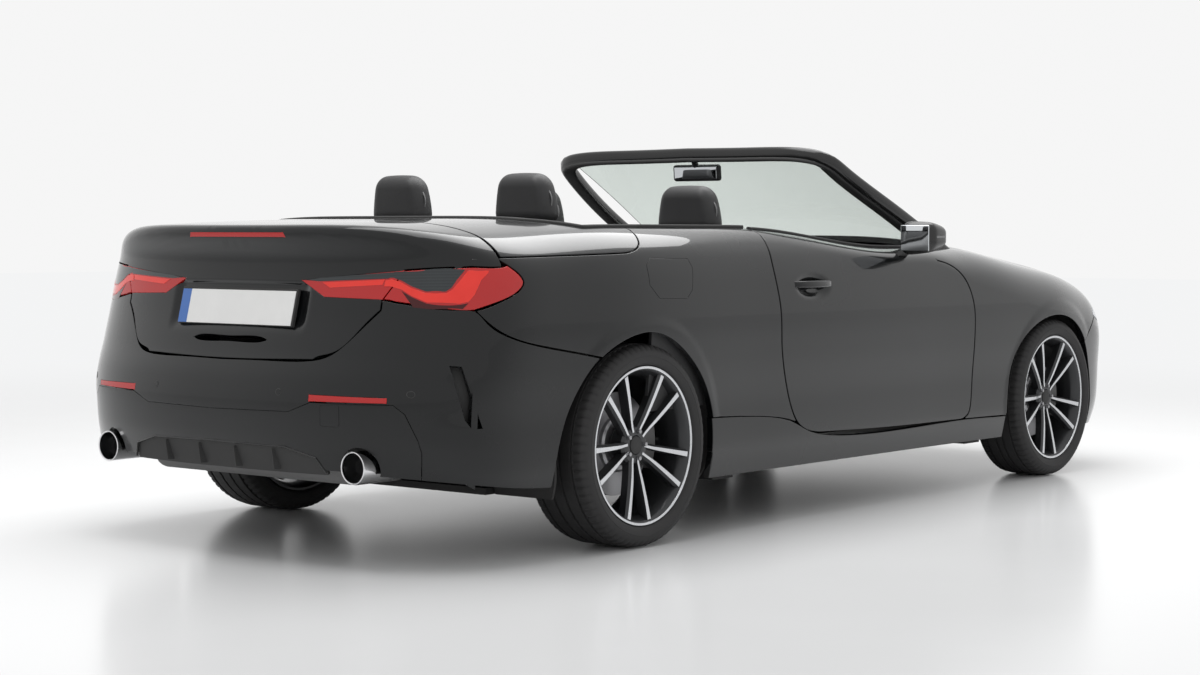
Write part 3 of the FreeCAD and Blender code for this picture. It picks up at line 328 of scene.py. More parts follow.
def surface_normals(p):
    """Which way the body's surface faces at points on it."""
    here = body_field(p)
    slope = np.stack([body_field(p + step) - here for step in np.eye(3)], axis=1)
    return slope / np.maximum(np.linalg.norm(slope, axis=1), 1e-9)[:, None]


def shifted(line, distance, toward):
    """A line on the body moved along the surface by a distance, to the side where the point lies."""
    ways = np.gradient(line, axis=0)
    if np.linalg.norm(line[0] - line[-1]) < 0.01:
        ways[0] = ways[-1] = line[1] - line[-2]
    ways /= np.maximum(np.linalg.norm(ways, axis=1), 1e-9)[:, None]
    out = np.cross(ways, surface_normals(line))
    middle = len(line) // 2
    sign = 1 if np.dot(out[middle], np.array(toward, float) - line[middle]) > 0 else -1
    return line + out * (sign * distance)


def untangled(line):
    """A flat line without doubled points and without the small loops that a shift makes in tight corners."""
    steps = np.linalg.norm(np.diff(line, axis=0), axis=1)
    line = line[np.concatenate([[True], steps > 0.05])]
    kept = [line[0]]
    i = 0
    while i < len(line) - 1:
        a, b = kept[-1], line[i + 1]
        crossing = None
        for j in range(min(i + 12, len(line) - 2), i + 1, -1):
            c, d = line[j], line[j + 1]
            turn = (b[0] - a[0]) * (d[1] - c[1]) - (b[1] - a[1]) * (d[0] - c[0])
            if abs(turn) < 1e-9:
                continue
            t = ((c[0] - a[0]) * (d[1] - c[1]) - (c[1] - a[1]) * (d[0] - c[0])) / turn
            w = ((c[0] - a[0]) * (b[1] - a[1]) - (c[1] - a[1]) * (b[0] - a[0])) / turn
            if 0 <= t <= 1 and 0 <= w <= 1:
                crossing = (j, a + (b - a) * t)
                break
        kept.append(crossing[1] if crossing else b)
        i = crossing[0] if crossing else i + 1
    return np.array(kept)


WAYS = {"u+": (1, 0), "u-": (-1, 0), "v+": (0, 1), "v-": (0, -1)}
FAR = 4000
ENDS = 300  # how far a cut is carried on where a panel's corner lies at its end


def cut_off(spread, line, way, toward, gap, reach=3):
    """The flat polygon of all that lies beyond a line, grown by the gap, its ends carried on by the reach."""
    flat = untangled(spread.find(shifted(line, gap, toward)))
    far = np.array(WAYS[way], float) * FAR
    aside = np.array([float(far[1] != 0), float(far[0] != 0)])
    along = aside * np.sign(np.dot(flat[-1] - flat[0], aside)) * reach
    first = flat[0] - along
    last = flat[-1] + along
    return np.concatenate([[first], flat, [last, last + far, first + far]])


def hole(spread, line, gap):
    """The flat polygon inside a closed line, grown by the gap."""
    return untangled(spread.find(shifted(line, -gap, line.mean(axis=0))))


class Skin:
    """Points, faces and corner normals of a mesh that is being put together."""

    def __init__(self):
        self.points = []
        self.faces = []
        self.normals = []

    def add(self, points):
        """Takes more points and says the number of their first."""
        start = sum(len(part) for part in self.points)
        self.points.append(np.asarray(points, float))
        return start

    def quads(self, faces, normals):
        self.faces += [tuple(int(i) for i in face) for face in faces]
        self.normals += [tuple(map(tuple, normal)) for normal in normals]


def flat_mesh(area, cuts, pitch, within=False):
    """Triangles that fill the area less the cuts, or what lies within the first one: flat points, index triples."""
    u0, u1, v0, v1 = area
    outline = [np.array([(u0, v0), (u1, v0), (u1, v1), (u0, v1)], float)]
    loops = outline + [np.asarray(cut, float) for cut in cuts]
    coords = []
    faces = []
    for loop in loops:
        after = np.roll(loop, -1, axis=0)
        if np.sum(loop[:, 0] * after[:, 1] - after[:, 0] * loop[:, 1]) < 0:
            loop = loop[::-1]
        faces.append(list(range(len(coords), len(coords) + len(loop))))
        coords += [Vector(point) for point in loop]
    tree = KDTree(len(coords))
    for i, point in enumerate(coords):
        tree.insert((point.x, point.y, 0), i)
    tree.balance()
    rows = int((v1 - v0) / (pitch * 0.866)) + 1
    for j in range(rows + 1):
        v = v0 + (v1 - v0) * j / rows
        for u in np.arange(u0 + (pitch / 2 if j % 2 else 0), u1, pitch):
            if tree.find((u, v, 0))[2] > pitch * 0.5:
                coords.append(Vector((u, v)))
    found = delaunay_2d_cdt(coords, [], faces, 1, 1e-4)
    flat = np.array([tuple(point) for point in found[0]])
    wanted = {0, 1} if within else {0}
    kept = [face for face, owners in zip(found[2], found[5]) if set(owners) == wanted]
    used = sorted({i for face in kept for i in face})
    index = {old: new for new, old in enumerate(used)}
    return flat[used], np.array([[index[i] for i in face] for face in kept])


def lay(spread, uv, relief):
    """Points on the body for flat ones; relief says how far under the body each lies."""
    origin, way = spread.aim(uv)
    points = strike(origin, way, spread.reach)
    if relief:
        points = points - way * relief(points)[:, None]
    return points


def panel_skin(spread, area, cuts, pitch=16, deep=22, roll=2.4, relief=None, lift=0.0, within=False):
    """A closed panel: outer face on the body, rolled edges, walls and an inner face."""
    uv, tris = flat_mesh(area, cuts, pitch, within)
    step = 1.5
    points = lay(spread, uv, relief)
    along = lay(spread, uv + (step, 0), relief) - lay(spread, uv - (step, 0), relief)
    across = lay(spread, uv + (0, step), relief) - lay(spread, uv - (0, step), relief)
    normals = np.cross(along, across)
    normals /= np.maximum(np.linalg.norm(normals, axis=1), 1e-9)[:, None]
    ways = spread.aim(uv)[1]
    normals *= np.where(np.sum(normals * ways, axis=1) < 0, -1, 1)[:, None]
    points = points + normals * lift
    a, b, c = (points[tris[:, k]] for k in range(3))
    facing = np.sum(np.cross(b - a, c - a) * normals[tris[:, 0]], axis=1)
    tris = np.where((facing < 0)[:, None], tris[:, ::-1], tris)
    edges = {}
    for tri in tris:
        for i, j in ((tri[0], tri[1]), (tri[1], tri[2]), (tri[2], tri[0])):
            edges[(int(i), int(j))] = True
    border = [edge for edge in edges if (edge[1], edge[0]) not in edges]
    out = np.zeros_like(points)
    for i, j in border:
        side = np.cross(points[j] - points[i], normals[i] + normals[j])
        side /= max(np.linalg.norm(side), 1e-9)
        out[i] += side
        out[j] += side
    rim = np.array(sorted({i for edge in border for i in edge}))
    lengths = np.linalg.norm(out[rim], axis=1)
    out[rim] /= np.maximum(lengths * np.maximum(lengths / 2, 0.55), 1e-9)[:, None]
    skin = Skin()
    skin.add(points)
    skin.quads(tris, normals[tris])
    place = {int(i): k for k, i in enumerate(rim)}
    n, o = normals[rim], out[rim]
    start = points[rim]
    slope = (n + o) / np.maximum(np.linalg.norm(n + o, axis=1), 1e-9)[:, None]
    levels = [(None, n)]
    for share, dip, facing in ((0.71, 0.29, slope), (1.0, 1.0, o), (1.0, deep / max(roll, 1e-6), o)):
        levels.append((skin.add(start + o * roll * share - n * roll * dip), facing))
    back = skin.add(points - normals * deep)
    for level in range(3):
        first, first_normal = levels[level]
        second, second_normal = levels[level + 1]
        quads = []
        facings = []
        for i, j in border:
            p, q = place[i], place[j]
            i0, j0 = (i, j) if first is None else (first + p, first + q)
            quads.append((i0, second + p, second + q, j0))
            facings.append((first_normal[p], second_normal[p], second_normal[q], first_normal[q]))
        skin.quads(quads, facings)
    last = levels[3][0]
    quads = [(last + place[i], back + i, back + j, last + place[j]) for i, j in border]
    skin.quads(quads, [[-normals[i], -normals[i], -normals[j], -normals[j]] for i, j in border])
    skin.quads([tuple(back + i for i in tri[::-1]) for tri in tris], -normals[tris[:, ::-1]])
    return skin


def mesh_object(name, skin, mirror=False):
    """The skin as a mesh object in metres, on its own side of the car or mirrored."""
    points = np.concatenate(skin.points) * MM
    faces = skin.faces
    normals = skin.normals
    if mirror:
        points = points * (1, -1, 1)
        faces = [face[::-1] for face in faces]
        normals = [[(a, -b, c) for a, b, c in reversed(corner)] for corner in normals]
    mesh = bpy.data.meshes.new(name)
    mesh.from_pydata(points.tolist(), [], faces)
    mesh.shade_smooth()
    mesh.normals_split_custom_set([corner for face in normals for corner in face])
    thing = bpy.data.objects.new(name, mesh)
    bpy.context.scene.collection.objects.link(thing)
    return thing


# Outlines of the panels, seen from the side (X, Z), above (X, Y) and behind (Y, Z).

ROLL_EDGE = 2.4
SEAM = 2.5 + ROLL_EDGE
DOOR_FRONT = [(F - 950, 915), (F - 850, 892), (F - 761, 832), (F - 719, 756), (F - 699, 676), (F - 689, 516),
              (F - 696, 357), (F - 715, 305), (F - 765, 284)]
DOOR_LOW = [(F - 765, 284), (F - 1300, 288), (R + 1060, 302)]
DOOR_CORNER = [(F - 935, 918), (F - 975, 965), (F - 985, 1010)]
DOOR_REAR = [(R + 1060, 302), (R + 985, 314), (R + 913, 350), (R + 845, 467), (R + 794, 610), (R + 770, 786),
             (R + 756, 908), (R + 775, 990), (R + 784, 1012)]
SILL_REAR = [(R + 340, 404), (R + 385, 399), (R + 870, 358), (R + 1000, 312)]
SILL_FRONT = [(F - 765, 284), (F - 500, 280), (F - 380, 278)]
FRONT_ARCH = [(F - 412, 290), (F - 388, 463), (F - 325, 568), (F - 190, 650), (F - 20, 680), (F + 160, 644),
              (F + 305, 548), (F + 378, 420), (F + 396, 290)]
REAR_ARCH = [(R - 427, 280), (R - 388, 416), (R - 325, 532), (R - 220, 634), (R - 7, 700), (R + 129, 670),
             (R + 251, 595), (R + 345, 497), (R + 388, 397), (R + 392, 280)]
BUMPER_TOP = [(R - 215, 624), (R - 360, 648), (R - 484, 668), (R - 652, 709), (R - 714, 750), (R - 743, 786)]
LAMP_TIP = [(R - 655, 944), (R - 641, 934), (R - 588, 896), (R - 573, 869), (R - 598, 842), (R - 660, 815),
            (R - 743, 787), (R - 803, 790), (R - 855, 806)]
BONNET_REAR = [(F - 545, 0), (F - 560, 300), (F - 600, 560), (F - 640, 745)]
BONNET_SIDE = [(F - 640, 745), (F - 300, 752), (F + 50, 742), (F + 300, 700), (F + 480, 620)]
BONNET_NOSE = [(F + 480, 620), (F + 640, 440), (F + 700, 220), (F + 715, 0)]
LID_FRONT_X = R - 640
LID_BACK_X = -2000
LID_CORNER = [(380, 632), (449, 655), (530, 735), (578, 785)]
LAMP_INNER = [(578, 816), (639, 906)]
LID_LAMP = [(578, 816), (639, 906), (264, 872), (365, 821)]
LID_BAND = [(352, 866), (578, 877), (572, 861), (384, 850)]
LID_DARK = [(285, 872), (345, 880), (620, 901), (590, 880), (340, 869)]
LID_GRIP = [(172, 686), (150, 695), (0, 697), (-150, 695), (-172, 686), (-150, 678), (0, 676), (150, 678)]
COVER_SIDE = [(R - 720, 943), (R - 400, 948), (R - 110, 954), (R - 33, 960), (R + 37, 988), (R + 76, 1029),
              (R + 106, 1048)]
COVER_FRONT = [(R + 150, 735), (R - 120, 735), (R - 205, 560), (R - 205, 0)]
BUMPER_REAR_ARCH = [(R - 7, 700), (R - 220, 634), (R - 325, 532), (R - 388, 416), (R - 427, 280), (R - 436, 200)]
BUMPER_LOW = [(R - 400, 228), (R - 575, 239), (R - 863, 277), (R - 960, 290)]
REFLECTOR = [(400, 508), (661, 509), (661, 527), (400, 530)]
BRAKE_LAMP = [(222, 1003), (214, 1020), (-214, 1020), (-222, 1003)]
FLAP = [(R + 17, 916), (R + 47, 938), (R + 255, 934), (R + 268, 905), (R + 246, 831), (R + 212, 803),
        (R + 60, 806), (R + 14, 851)]
GRILLE = [(-470, 590), (-400, 350), (400, 350), (470, 590)]
HANDLE = (-325.0, 836.0)
PLATE_TILT = 14.0
PIPE_Y = 565
PIPE_Z = 314.0

# Outlines on the rear end's flat spread: measured round it, and Z.

VALANCE = [(0, 470), (300, 474), (372, 505), (596, 505), (624, 478), (655, 398), (664, 362), (665, 150)]
VENT = [(729, 625), (759, 622), (813, 430), (784, 430), (766, 458)]
DIFFUSER_CUT = [(0, 369), (281, 365), (383, 336), (412, 290), (412, 150)]
TOW_COVER = (430.0, 467.0, 27.0, 32.0)
SENSORS = [(264, 533), (639, 538)]
BLADE = [(572, 857), (576, 875), (593, 878), (615, 871), (643, 853), (679, 838), (729, 838), (744, 849), (781, 902),
         (789, 906), (836, 905), (834, 898), (815, 878), (797, 835), (781, 813), (758, 807), (682, 810), (643, 830),
         (619, 848), (590, 857)]
SMOKE = [(584, 884), (586, 893), (600, 900), (700, 910), (738, 912), (776, 908), (741, 854), (727, 843), (680, 843),
         (645, 858), (619, 875), (598, 883)]
# BLADE_SHADE outlines painted shade: a dark band just under the blade.
BLADE_SHADE = [(619, 843), (645, 825), (682, 806), (758, 803), (780, 808), (766, 791), (690, 790), (648, 795)]

# Wheels: name, X, Y and tyre width. A spoke's stations: radius, offset, drop below the rim's lip, half width.

TYRE = 331.0
FLANGE_INSET = 14
SEAT_DROP = 37
WHEELS = [("front_left", F, 790.0, 225.0), ("front_right", F, -790.0, 225.0),
          ("rear_left", R, 792.0, 255.0), ("rear_right", R, -792.0, 255.0)]
SPOKE_ANGLES = (127.2, 55.4, -12.4, -84.9, -156.7)
SPOKE_STATIONS = [(44, 13, 35, 4.2), (62, 15.5, 33, 4.2), (84, 19, 28.5, 4.5), (108, 24, 23.5, 5.4),
                  (134, 29.6, 19, 6.0), (170, 37.4, 13.5, 6.6), (205, 45.1, 9, 7.2), (232, 51, 6, 7.9),
                  (244, 53.7, 5, 8.4)]
BRAKE_DISC = [(52, 14), (84, 14), (92, 8), (94, -4), (169, -4), (170, -5), (170, -12), (164, -13), (164, -23),
              (170, -24), (170, -31), (169, -32), (84, -32), (52, -32)]
WHEEL_RING = 180

# Camera, in metres, degrees and millimetres of lens, and stage.

CAMERA_PLACE = (-7.14295, -5.37937, 1.02263)
CAMERA_YAW = 38.657
CAMERA_PITCH = -2.658
CAMERA_ROLL = 0.118
CAMERA_LENS = 68.304
FLOOR_HALF = 40

# Colour sockets of the mix node, and how much lighter a surface's second colour is.

MIX_A = 6
MIX_B = 7
MIX_RESULT = 2
SECOND_COLOUR = 1.35


def closed(points):
    """A line's points with the first one again at the end."""
    return points + points[:1]


def join(*lines):
    """Lines one after the other, without doubled points."""
    line = np.concatenate(lines)
    steps = np.linalg.norm(np.diff(line, axis=0), axis=1)
    return line[np.concatenate([[True], steps > 0.5])]


def flipped(line):
    """The same line on the car's right side, run the other way."""
    return line[::-1] * (1, -1, 1)


def whole(half):
    """A line from one side to the middle, with its mirror image."""
    return join(half, flipped(half))


def lid_shoulder():
    """Seam between the boot lid and what lies below it: lamp corner, round the shoulder, to the lid's front."""
    rear = on_end([(639, 906), (720, 912), (800, 916)], -1)
    x, z = rear[-1][0], rear[-1][2]
    return join(rear, on_side([(x + 14, z + 1), (x + 120, z + 6), (LID_FRONT_X + 30, 931)]))


def lid_side():
    """The boot lid's left edge, from under the lamp to the lid's front."""
    return join(on_end([(380, 600)] + LID_CORNER, -1), on_end([LID_CORNER[-1], LAMP_INNER[0]], -1),
                on_end(LAMP_INNER, -1), lid_shoulder()[1:])


def bumper_top():
    """The rear bumper's upper edge from the left arch to the middle of the car."""
    low = on_side(BUMPER_TOP + [(R - 803, 790), (R - 865, 810)])
    return join(low, on_end([(590, 816), (578, 814)], -1, True), on_end([(578, 812), (578, 787)], -1),
                on_end(LID_CORNER[::-1] + [(200, 627), (0, 625)], -1))


def nose_top():
    """Where the front bumper ends: from the arch into the headlamp, then along the bonnet's front edge."""
    side = on_side([(F + 270, 535), (F + 300, 560), (F + 390, 640), (F + 450, 680)])
    return join(side, on_end([(740, 690), (600, 705), (450, 728)], 1), on_top(BONNET_NOSE[1:]))


def head_outline():
    """The left headlamp's closed outline."""
    low = join(on_side([(F + 400, 668), (F + 500, 634), (F + 590, 614)]), on_end([(600, 613), (430, 624)], 1))
    side = on_side([(F + 640, 742), (F + 500, 745), (F + 400, 668)], True)
    return join(low, on_end([(430, 711), (side[0][1] - 4, 741)], 1, True), side)


def variation_group():
    """Colour and roughness that wander a little over the surface, and a fine grain for the bump."""
    tree = bpy.data.node_groups.new("Surface Variation", "ShaderNodeTree")
    face = tree.interface
    for name, kind, value in (("First", "NodeSocketColor", (0.1, 0.1, 0.1, 1)),
                              ("Second", "NodeSocketColor", (0.2, 0.2, 0.2, 1)),
                              ("Spread", "NodeSocketFloat", 3.0), ("Grain", "NodeSocketFloat", 600.0),
                              ("Smooth", "NodeSocketFloat", 0.3), ("Rough", "NodeSocketFloat", 0.4)):
        face.new_socket(name, in_out="INPUT", socket_type=kind).default_value = value
    for name, kind in (("Color", "NodeSocketColor"), ("Roughness", "NodeSocketFloat"), ("Height", "NodeSocketFloat")):
        face.new_socket(name, in_out="OUTPUT", socket_type=kind)
    make, link = tree.nodes.new, tree.links.new
    start, end, place = make("NodeGroupInput"), make("NodeGroupOutput"), make("ShaderNodeTexCoord")
    broad, fine, mix, span = (make("ShaderNodeTexNoise"), make("ShaderNodeTexNoise"), make("ShaderNodeMix"),
                              make("ShaderNodeMapRange"))
    mix.data_type = "RGBA"
    broad.inputs["Detail"].default_value = 4
    link(place.outputs["Object"], broad.inputs["Vector"])
    link(place.outputs["Object"], fine.inputs["Vector"])
    link(start.outputs["Spread"], broad.inputs["Scale"])
    link(start.outputs["Grain"], fine.inputs["Scale"])
    link(broad.outputs["Fac"], mix.inputs["Factor"])
    link(start.outputs["First"], mix.inputs[MIX_A])
    link(start.outputs["Second"], mix.inputs[MIX_B])
    link(mix.outputs[MIX_RESULT], end.inputs["Color"])
    link(broad.outputs["Fac"], span.inputs["Value"])
    link(start.outputs["Smooth"], span.inputs["To Min"])
    link(start.outputs["Rough"], span.inputs["To Max"])
    link(span.outputs["Result"], end.inputs["Roughness"])
    link(fine.outputs["Fac"], end.inputs["Height"])
    return tree


def material(name):
    """The material of that name, the frame's own where it has one."""
    return bpy.data.materials[name]


def make_material(name, colour, second=None, smooth=0.4, rough=0.5, metallic=0.0, coat=0.0, spread=3.0, grain=600.0,
                  bump=0.0, plain=()):
    """A material whose colour, roughness and grain come from the variation group; plain sets other sockets."""
    made = bpy.data.materials.new(name)
    made.use_nodes = True
    nodes, link = made.node_tree.nodes, made.node_tree.links.new
    shader = nodes["Principled BSDF"]
    shader.inputs["Metallic"].default_value = metallic
    shader.inputs["Coat Weight"].default_value = coat
    for socket, value in dict(plain).items():
        shader.inputs[socket].default_value = value
    group = nodes.new("ShaderNodeGroup")
    group.name = "variation"
    group.node_tree = bpy.data.node_groups.get("Surface Variation") or variation_group()
    second = second or tuple(value * SECOND_COLOUR for value in colour)
    for socket, value in (("First", (*colour, 1)), ("Second", (*second, 1)), ("Spread", spread), ("Grain", grain),
                          ("Smooth", smooth), ("Rough", rough)):
        group.inputs[socket].default_value = value
    link(group.outputs["Color"], shader.inputs["Base Color"])
    link(group.outputs["Roughness"], shader.inputs["Roughness"])
    if bump:
        raised = nodes.new("ShaderNodeBump")
        raised.inputs["Strength"].default_value = bump
        raised.inputs["Distance"].default_value = MM
        link(group.outputs["Height"], raised.inputs["Height"])
        link(raised.outputs["Normal"], shader.inputs["Normal"])
    return made


def masked(name, colour, build):
    """Lays another colour over a material's own where the mask that build makes is 1."""
    tree = material(name).node_tree
    mix = tree.nodes.new("ShaderNodeMix")
    mix.data_type = "RGBA"
    mix.inputs[MIX_B].default_value = (*colour, 1)
    tree.links.new(tree.nodes["variation"].outputs["Color"], mix.inputs[MIX_A])
    tree.links.new(build(tree), mix.inputs["Factor"])
    tree.links.new(mix.outputs[MIX_RESULT], tree.nodes["Principled BSDF"].inputs["Base Color"])


def math_node(tree, operation, *values):
    """A maths node fed by numbers or by other nodes' outputs."""
    node = tree.nodes.new("ShaderNodeMath")
    node.operation = operation
    for socket, value in zip(node.inputs, values):
        if isinstance(value, (int, float)):
            socket.default_value = value
        else:
            tree.links.new(value, socket)
    return node.outputs[0]


def coordinate(tree, axis):
    """X, Y or Z of a point in its object, in metres."""
    place = tree.nodes.new("ShaderNodeTexCoord")
    split = tree.nodes.new("ShaderNodeSeparateXYZ")
    tree.links.new(place.outputs["Object"], split.inputs[0])
    return split.outputs[axis]


# Plain mesh parts, each (points, faces, material slot), in millimetres.

def bands(rings, count, joined):
    """Quads between neighbouring rings of count points; joined adds those from the last ring to the first."""
    faces = []
    for k in range(rings if joined else rings - 1):
        a, b = k * count, (k + 1) % rings * count
        faces += [(a + i, a + (i + 1) % count, b + (i + 1) % count, b + i) for i in range(count)]
    return faces


def lathe(profile, steps, slot=0, ripple=None):
    """A closed outline of (radius, along) turned round the Y axis; ripple changes the radii by step."""
    profile = np.array(profile, float)
    rows = []
    for k in range(steps):
        a = 2 * math.pi * k / steps
        radius = profile[:, 0] + (ripple(k) if ripple else 0)
        rows.append(np.stack([radius * math.cos(a), profile[:, 1], radius * math.sin(a)], 1))
    return np.concatenate(rows), bands(steps, len(profile), True), slot


def loft(rings, slot=0):
    """Rings of as many points each, joined one to the next, with flat ends."""
    count = len(rings[0])
    total = len(rings)
    faces = bands(total, count, False)
    faces += [tuple(range(count))[::-1], tuple((total - 1) * count + i for i in range(count))]
    return np.concatenate([np.asarray(ring, float) for ring in rings]), faces, slot


def sweep(path, section, slot=0, up=(0, 0, 1), size=None):
    """A section of (across, up) points carried along a path; size scales it by the share of the way."""
    path = np.asarray(path, float)
    rings = []
    for k, (point, way) in enumerate(zip(path, np.gradient(path, axis=0))):
        way = way / np.linalg.norm(way)
        across = np.cross(way, up)
        across /= max(np.linalg.norm(across), 1e-9)
        top = np.cross(across, way)
        scale = size(k / max(len(path) - 1, 1)) if size else 1.0
        rings.append([point + across * (a * scale) + top * (b * scale) for a, b in section])
    return loft(rings, slot)


def rounded_section(width, height, radius, count=4):
    """A rounded rectangle as (across, up) points."""
    points = []
    for k, (sx, sz) in enumerate(((1, 1), (-1, 1), (-1, -1), (1, -1))):
        for i in range(count + 1):
            a = math.pi / 2 * (k + i / count)
            points.append((sx * (width / 2 - radius) + radius * math.cos(a),
                           sz * (height / 2 - radius) + radius * math.sin(a)))
    return points


def rounded_block(size, radius, cuts=5, slot=0, shape=None):
    """A block with round edges, split finely enough to be shaped by a function of its points."""
    half = np.array(size, float) / 2
    lines = []
    for h in half:
        inner = h - radius
        ends = inner + radius * np.tan(np.radians([15, 30, 45]))
        lines.append(np.concatenate([-ends[::-1], np.linspace(-inner, inner, cuts), ends]))
    points = []
    faces = []
    for axis in range(3):
        others = [k for k in range(3) if k != axis]
        us, vs = (lines[k] for k in others)
        wide = len(vs)
        for side in (-1, 1):
            start = len(points)
            for u in us:
                for v in vs:
                    point = np.zeros(3)
                    point[axis] = side * half[axis]
                    point[others] = u, v
                    points.append(point)
            for i in range(len(us) - 1):
                for j in range(wide - 1):
                    a = start + i * wide + j
                    faces.append((a, a + 1, a + wide + 1, a + wide))
    points = np.array(points)
    core = np.clip(points, -(half - radius), half - radius)
    away = points - core
    points = core + away * (radius / np.maximum(np.linalg.norm(away, axis=1), 1e-9))[:, None]
    return (shape(points) if shape else points), faces, slot


def placed(part, centre=(0, 0, 0), turn=None):
    """A part turned, then moved to its centre."""
    points, faces, slot = part
    if turn is not None:
        points = points @ np.array(turn).T
    return points + np.array(centre, float), faces, slot


def sided(part, way):
    """A part as it is on the left, or mirrored to the right."""
    return placed(part, turn=np.diag([1.0, way, 1.0]))


def turned(axis, degrees):
    """A turn round X, Y or Z as a matrix."""
    return np.array(Matrix.Rotation(math.radians(degrees), 3, axis))


def node_centre(node):
    """The middle of a CAD node's box, in millimetres."""
    low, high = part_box(node)
    return np.array([(a + b) / 2 / MM for a, b in zip(low, high)])


def solid_object(name, parts, finishes, sharp):
    """One object from closed parts, their doubles merged and their faces turned outwards."""
    points = []
    faces = []
    slots = []
    for part_points, part_faces, slot in parts:
        start = len(points)
        points += (np.asarray(part_points) * MM).tolist()
        faces += [tuple(start + i for i in face) for face in part_faces]
        slots += [slot] * len(part_faces)
    mesh = bpy.data.meshes.new(name)
    mesh.from_pydata(points, [], faces)
    mesh.polygons.foreach_set("material_index", slots)
    form = bmesh.new()
    form.from_mesh(mesh)
    bmesh.ops.remove_doubles(form, verts=form.verts, dist=2e-6)
    bmesh.ops.recalc_face_normals(form, faces=form.faces)
    form.to_mesh(mesh)
    form.free()
    for finish in finishes:
        mesh.materials.append(material(finish))
    mesh.shade_smooth()
    mesh.set_sharp_from_angle(angle=math.radians(sharp))
    thing = bpy.data.objects.new(name, mesh)
    bpy.context.scene.collection.objects.link(thing)
    return thing


def fitted(thing, body, nodes=()):
    """Hands a finished piece to its body, and hides the CAD nodes that it stands for."""
    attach(thing, body)
    if nodes:
        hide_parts(*nodes)
    return thing


def piece(name, parts, finishes, body, nodes=(), sharp=35.0):
    """A piece made of closed parts."""
    return fitted(solid_object(name, parts, finishes, sharp), body, nodes)


def skin_piece(name, skin, finish, body, nodes=(), mirror=False):
    """A piece made of one panel skin."""
    thing = mesh_object(name, skin, mirror)
    thing.data.materials.append(material(finish))
    return fitted(thing, body, nodes)


def skin_pair(name, skin, finish, body, node):
    """A skin and its mirror image. A node's name with {} in it gives each its own, or else one stands for both."""
    for word, way in SIDES:
        nodes = [node.format(word)] if node and ("{}" in node or way > 0) else []
        skin_piece(name.format(word), skin, finish, body.format(word), nodes, way < 0)


def closed_patch(spread, line, gap, pitch, deep, roll=1.0, lift=0.0):
    """A panel that fills a closed line, less a gap."""
    flat = untangled(spread.find(shifted(line, gap + roll, line.mean(axis=0))))
    low, high = flat.min(axis=0) - 30, flat.max(axis=0) + 30
    return panel_skin(spread, (low[0], high[0], low[1], high[1]), [flat], pitch, deep, roll, None, lift, True)


def rear_patch(name, flat, finish, mirror, lift, deep, roll, pitch=10, nodes=(), relief=None, cuts=()):
    """A piece that fills a flat outline on the car's rear end."""
    flat = np.asarray(flat, float)
    low, high = flat.min(axis=0) - 20, flat.max(axis=0) + 20
    area = (low[0], high[0], low[1], high[1])
    skin = panel_skin(REAR_RING, area, [flat, *cuts], pitch, deep, roll, relief, lift, True)
    skin_piece(name, skin, finish, "chassis", nodes, mirror)


def rear_arch_cut(toward):
    """Cuts a side panel along the rear wheel's arch."""
    return cut_off(ROLL, on_side(REAR_ARCH), "v-", toward, ROLL_EDGE)


# Doors, quarters, fenders and sills.

def door_cuts(gap, belt_y, belt_gap):
    """What bounds a door's skin or its lining: the shut lines at a gap, and the belt."""
    middle = (F - 1400, 890, 600)
    return [cut_off(ROLL, on_side(DOOR_FRONT), "u+", middle, gap, ENDS),
            cut_off(ROLL, on_side(DOOR_LOW), "v-", middle, gap, ENDS),
            cut_off(ROLL, on_side(DOOR_REAR), "u-", middle, gap, ENDS),
            cut_off(ROLL, on_side(DOOR_CORNER), "u+", middle, gap),
            cut_off(ROLL, on_top([(R + 700, belt_y), (F - 960, belt_y)]), "v+", middle, belt_gap)]


def handle_scoop(points):
    """The hollow behind the door handle."""
    x, z = HANDLE
    away = np.hypot((points[:, 0] - x) / 100, (points[:, 2] - z + 6) / 42)
    return 13 * eased(np.clip((1.25 - away) / 0.9, 0, 1))


def handle_bar():
    """The pull: a bowed bar whose ends meet the door."""
    path = []
    for t in np.linspace(0, 1, 25):
        x, z = HANDLE[0] - 122 + 244 * t, HANDLE[1] + 2
        bow = 24 * math.sin(math.pi * min(max((t - 0.03) / 0.94, 0), 1)) ** 0.35
        path.append(on_side([(x, z), (x + 1, z)])[0] + np.array([0, bow - 8, 0]))
    return sweep(path, rounded_section(11, 25, 5.2, 5), size=lambda t: 0.72 + 0.28 * math.sin(math.pi * t) ** 0.4)


def build_doors():
    """Both doors' skins and their handles."""
    skin = panel_skin(ROLL, (R + 700, F - 640, -420, 470), door_cuts(SEAM, 757, ROLL_EDGE), 12, 13,
                      relief=handle_scoop)
    skin_pair("door_{}_skin", skin, "body_paint", "door_{}", "door_{}")
    bar = handle_bar()
    for word, way in SIDES:
        piece(f"door_handle_{word}", [sided(bar, way)], ["body_paint"], f"door_{word}", ())


def arch_lips(points):
    """A low band that follows each wheel arch, standing a little proud of the panel."""
    band = np.zeros(len(points))
    for x, radius in ((R, 392.0), (F, 388.0)):
        away = np.hypot(points[:, 0] - x, (points[:, 2] - 300) * 0.97) - radius
        band += np.where(away < 60, 3.2 * (1 - eased(np.clip((away - 16) / 38, 0, 1))), 0)
    return -band


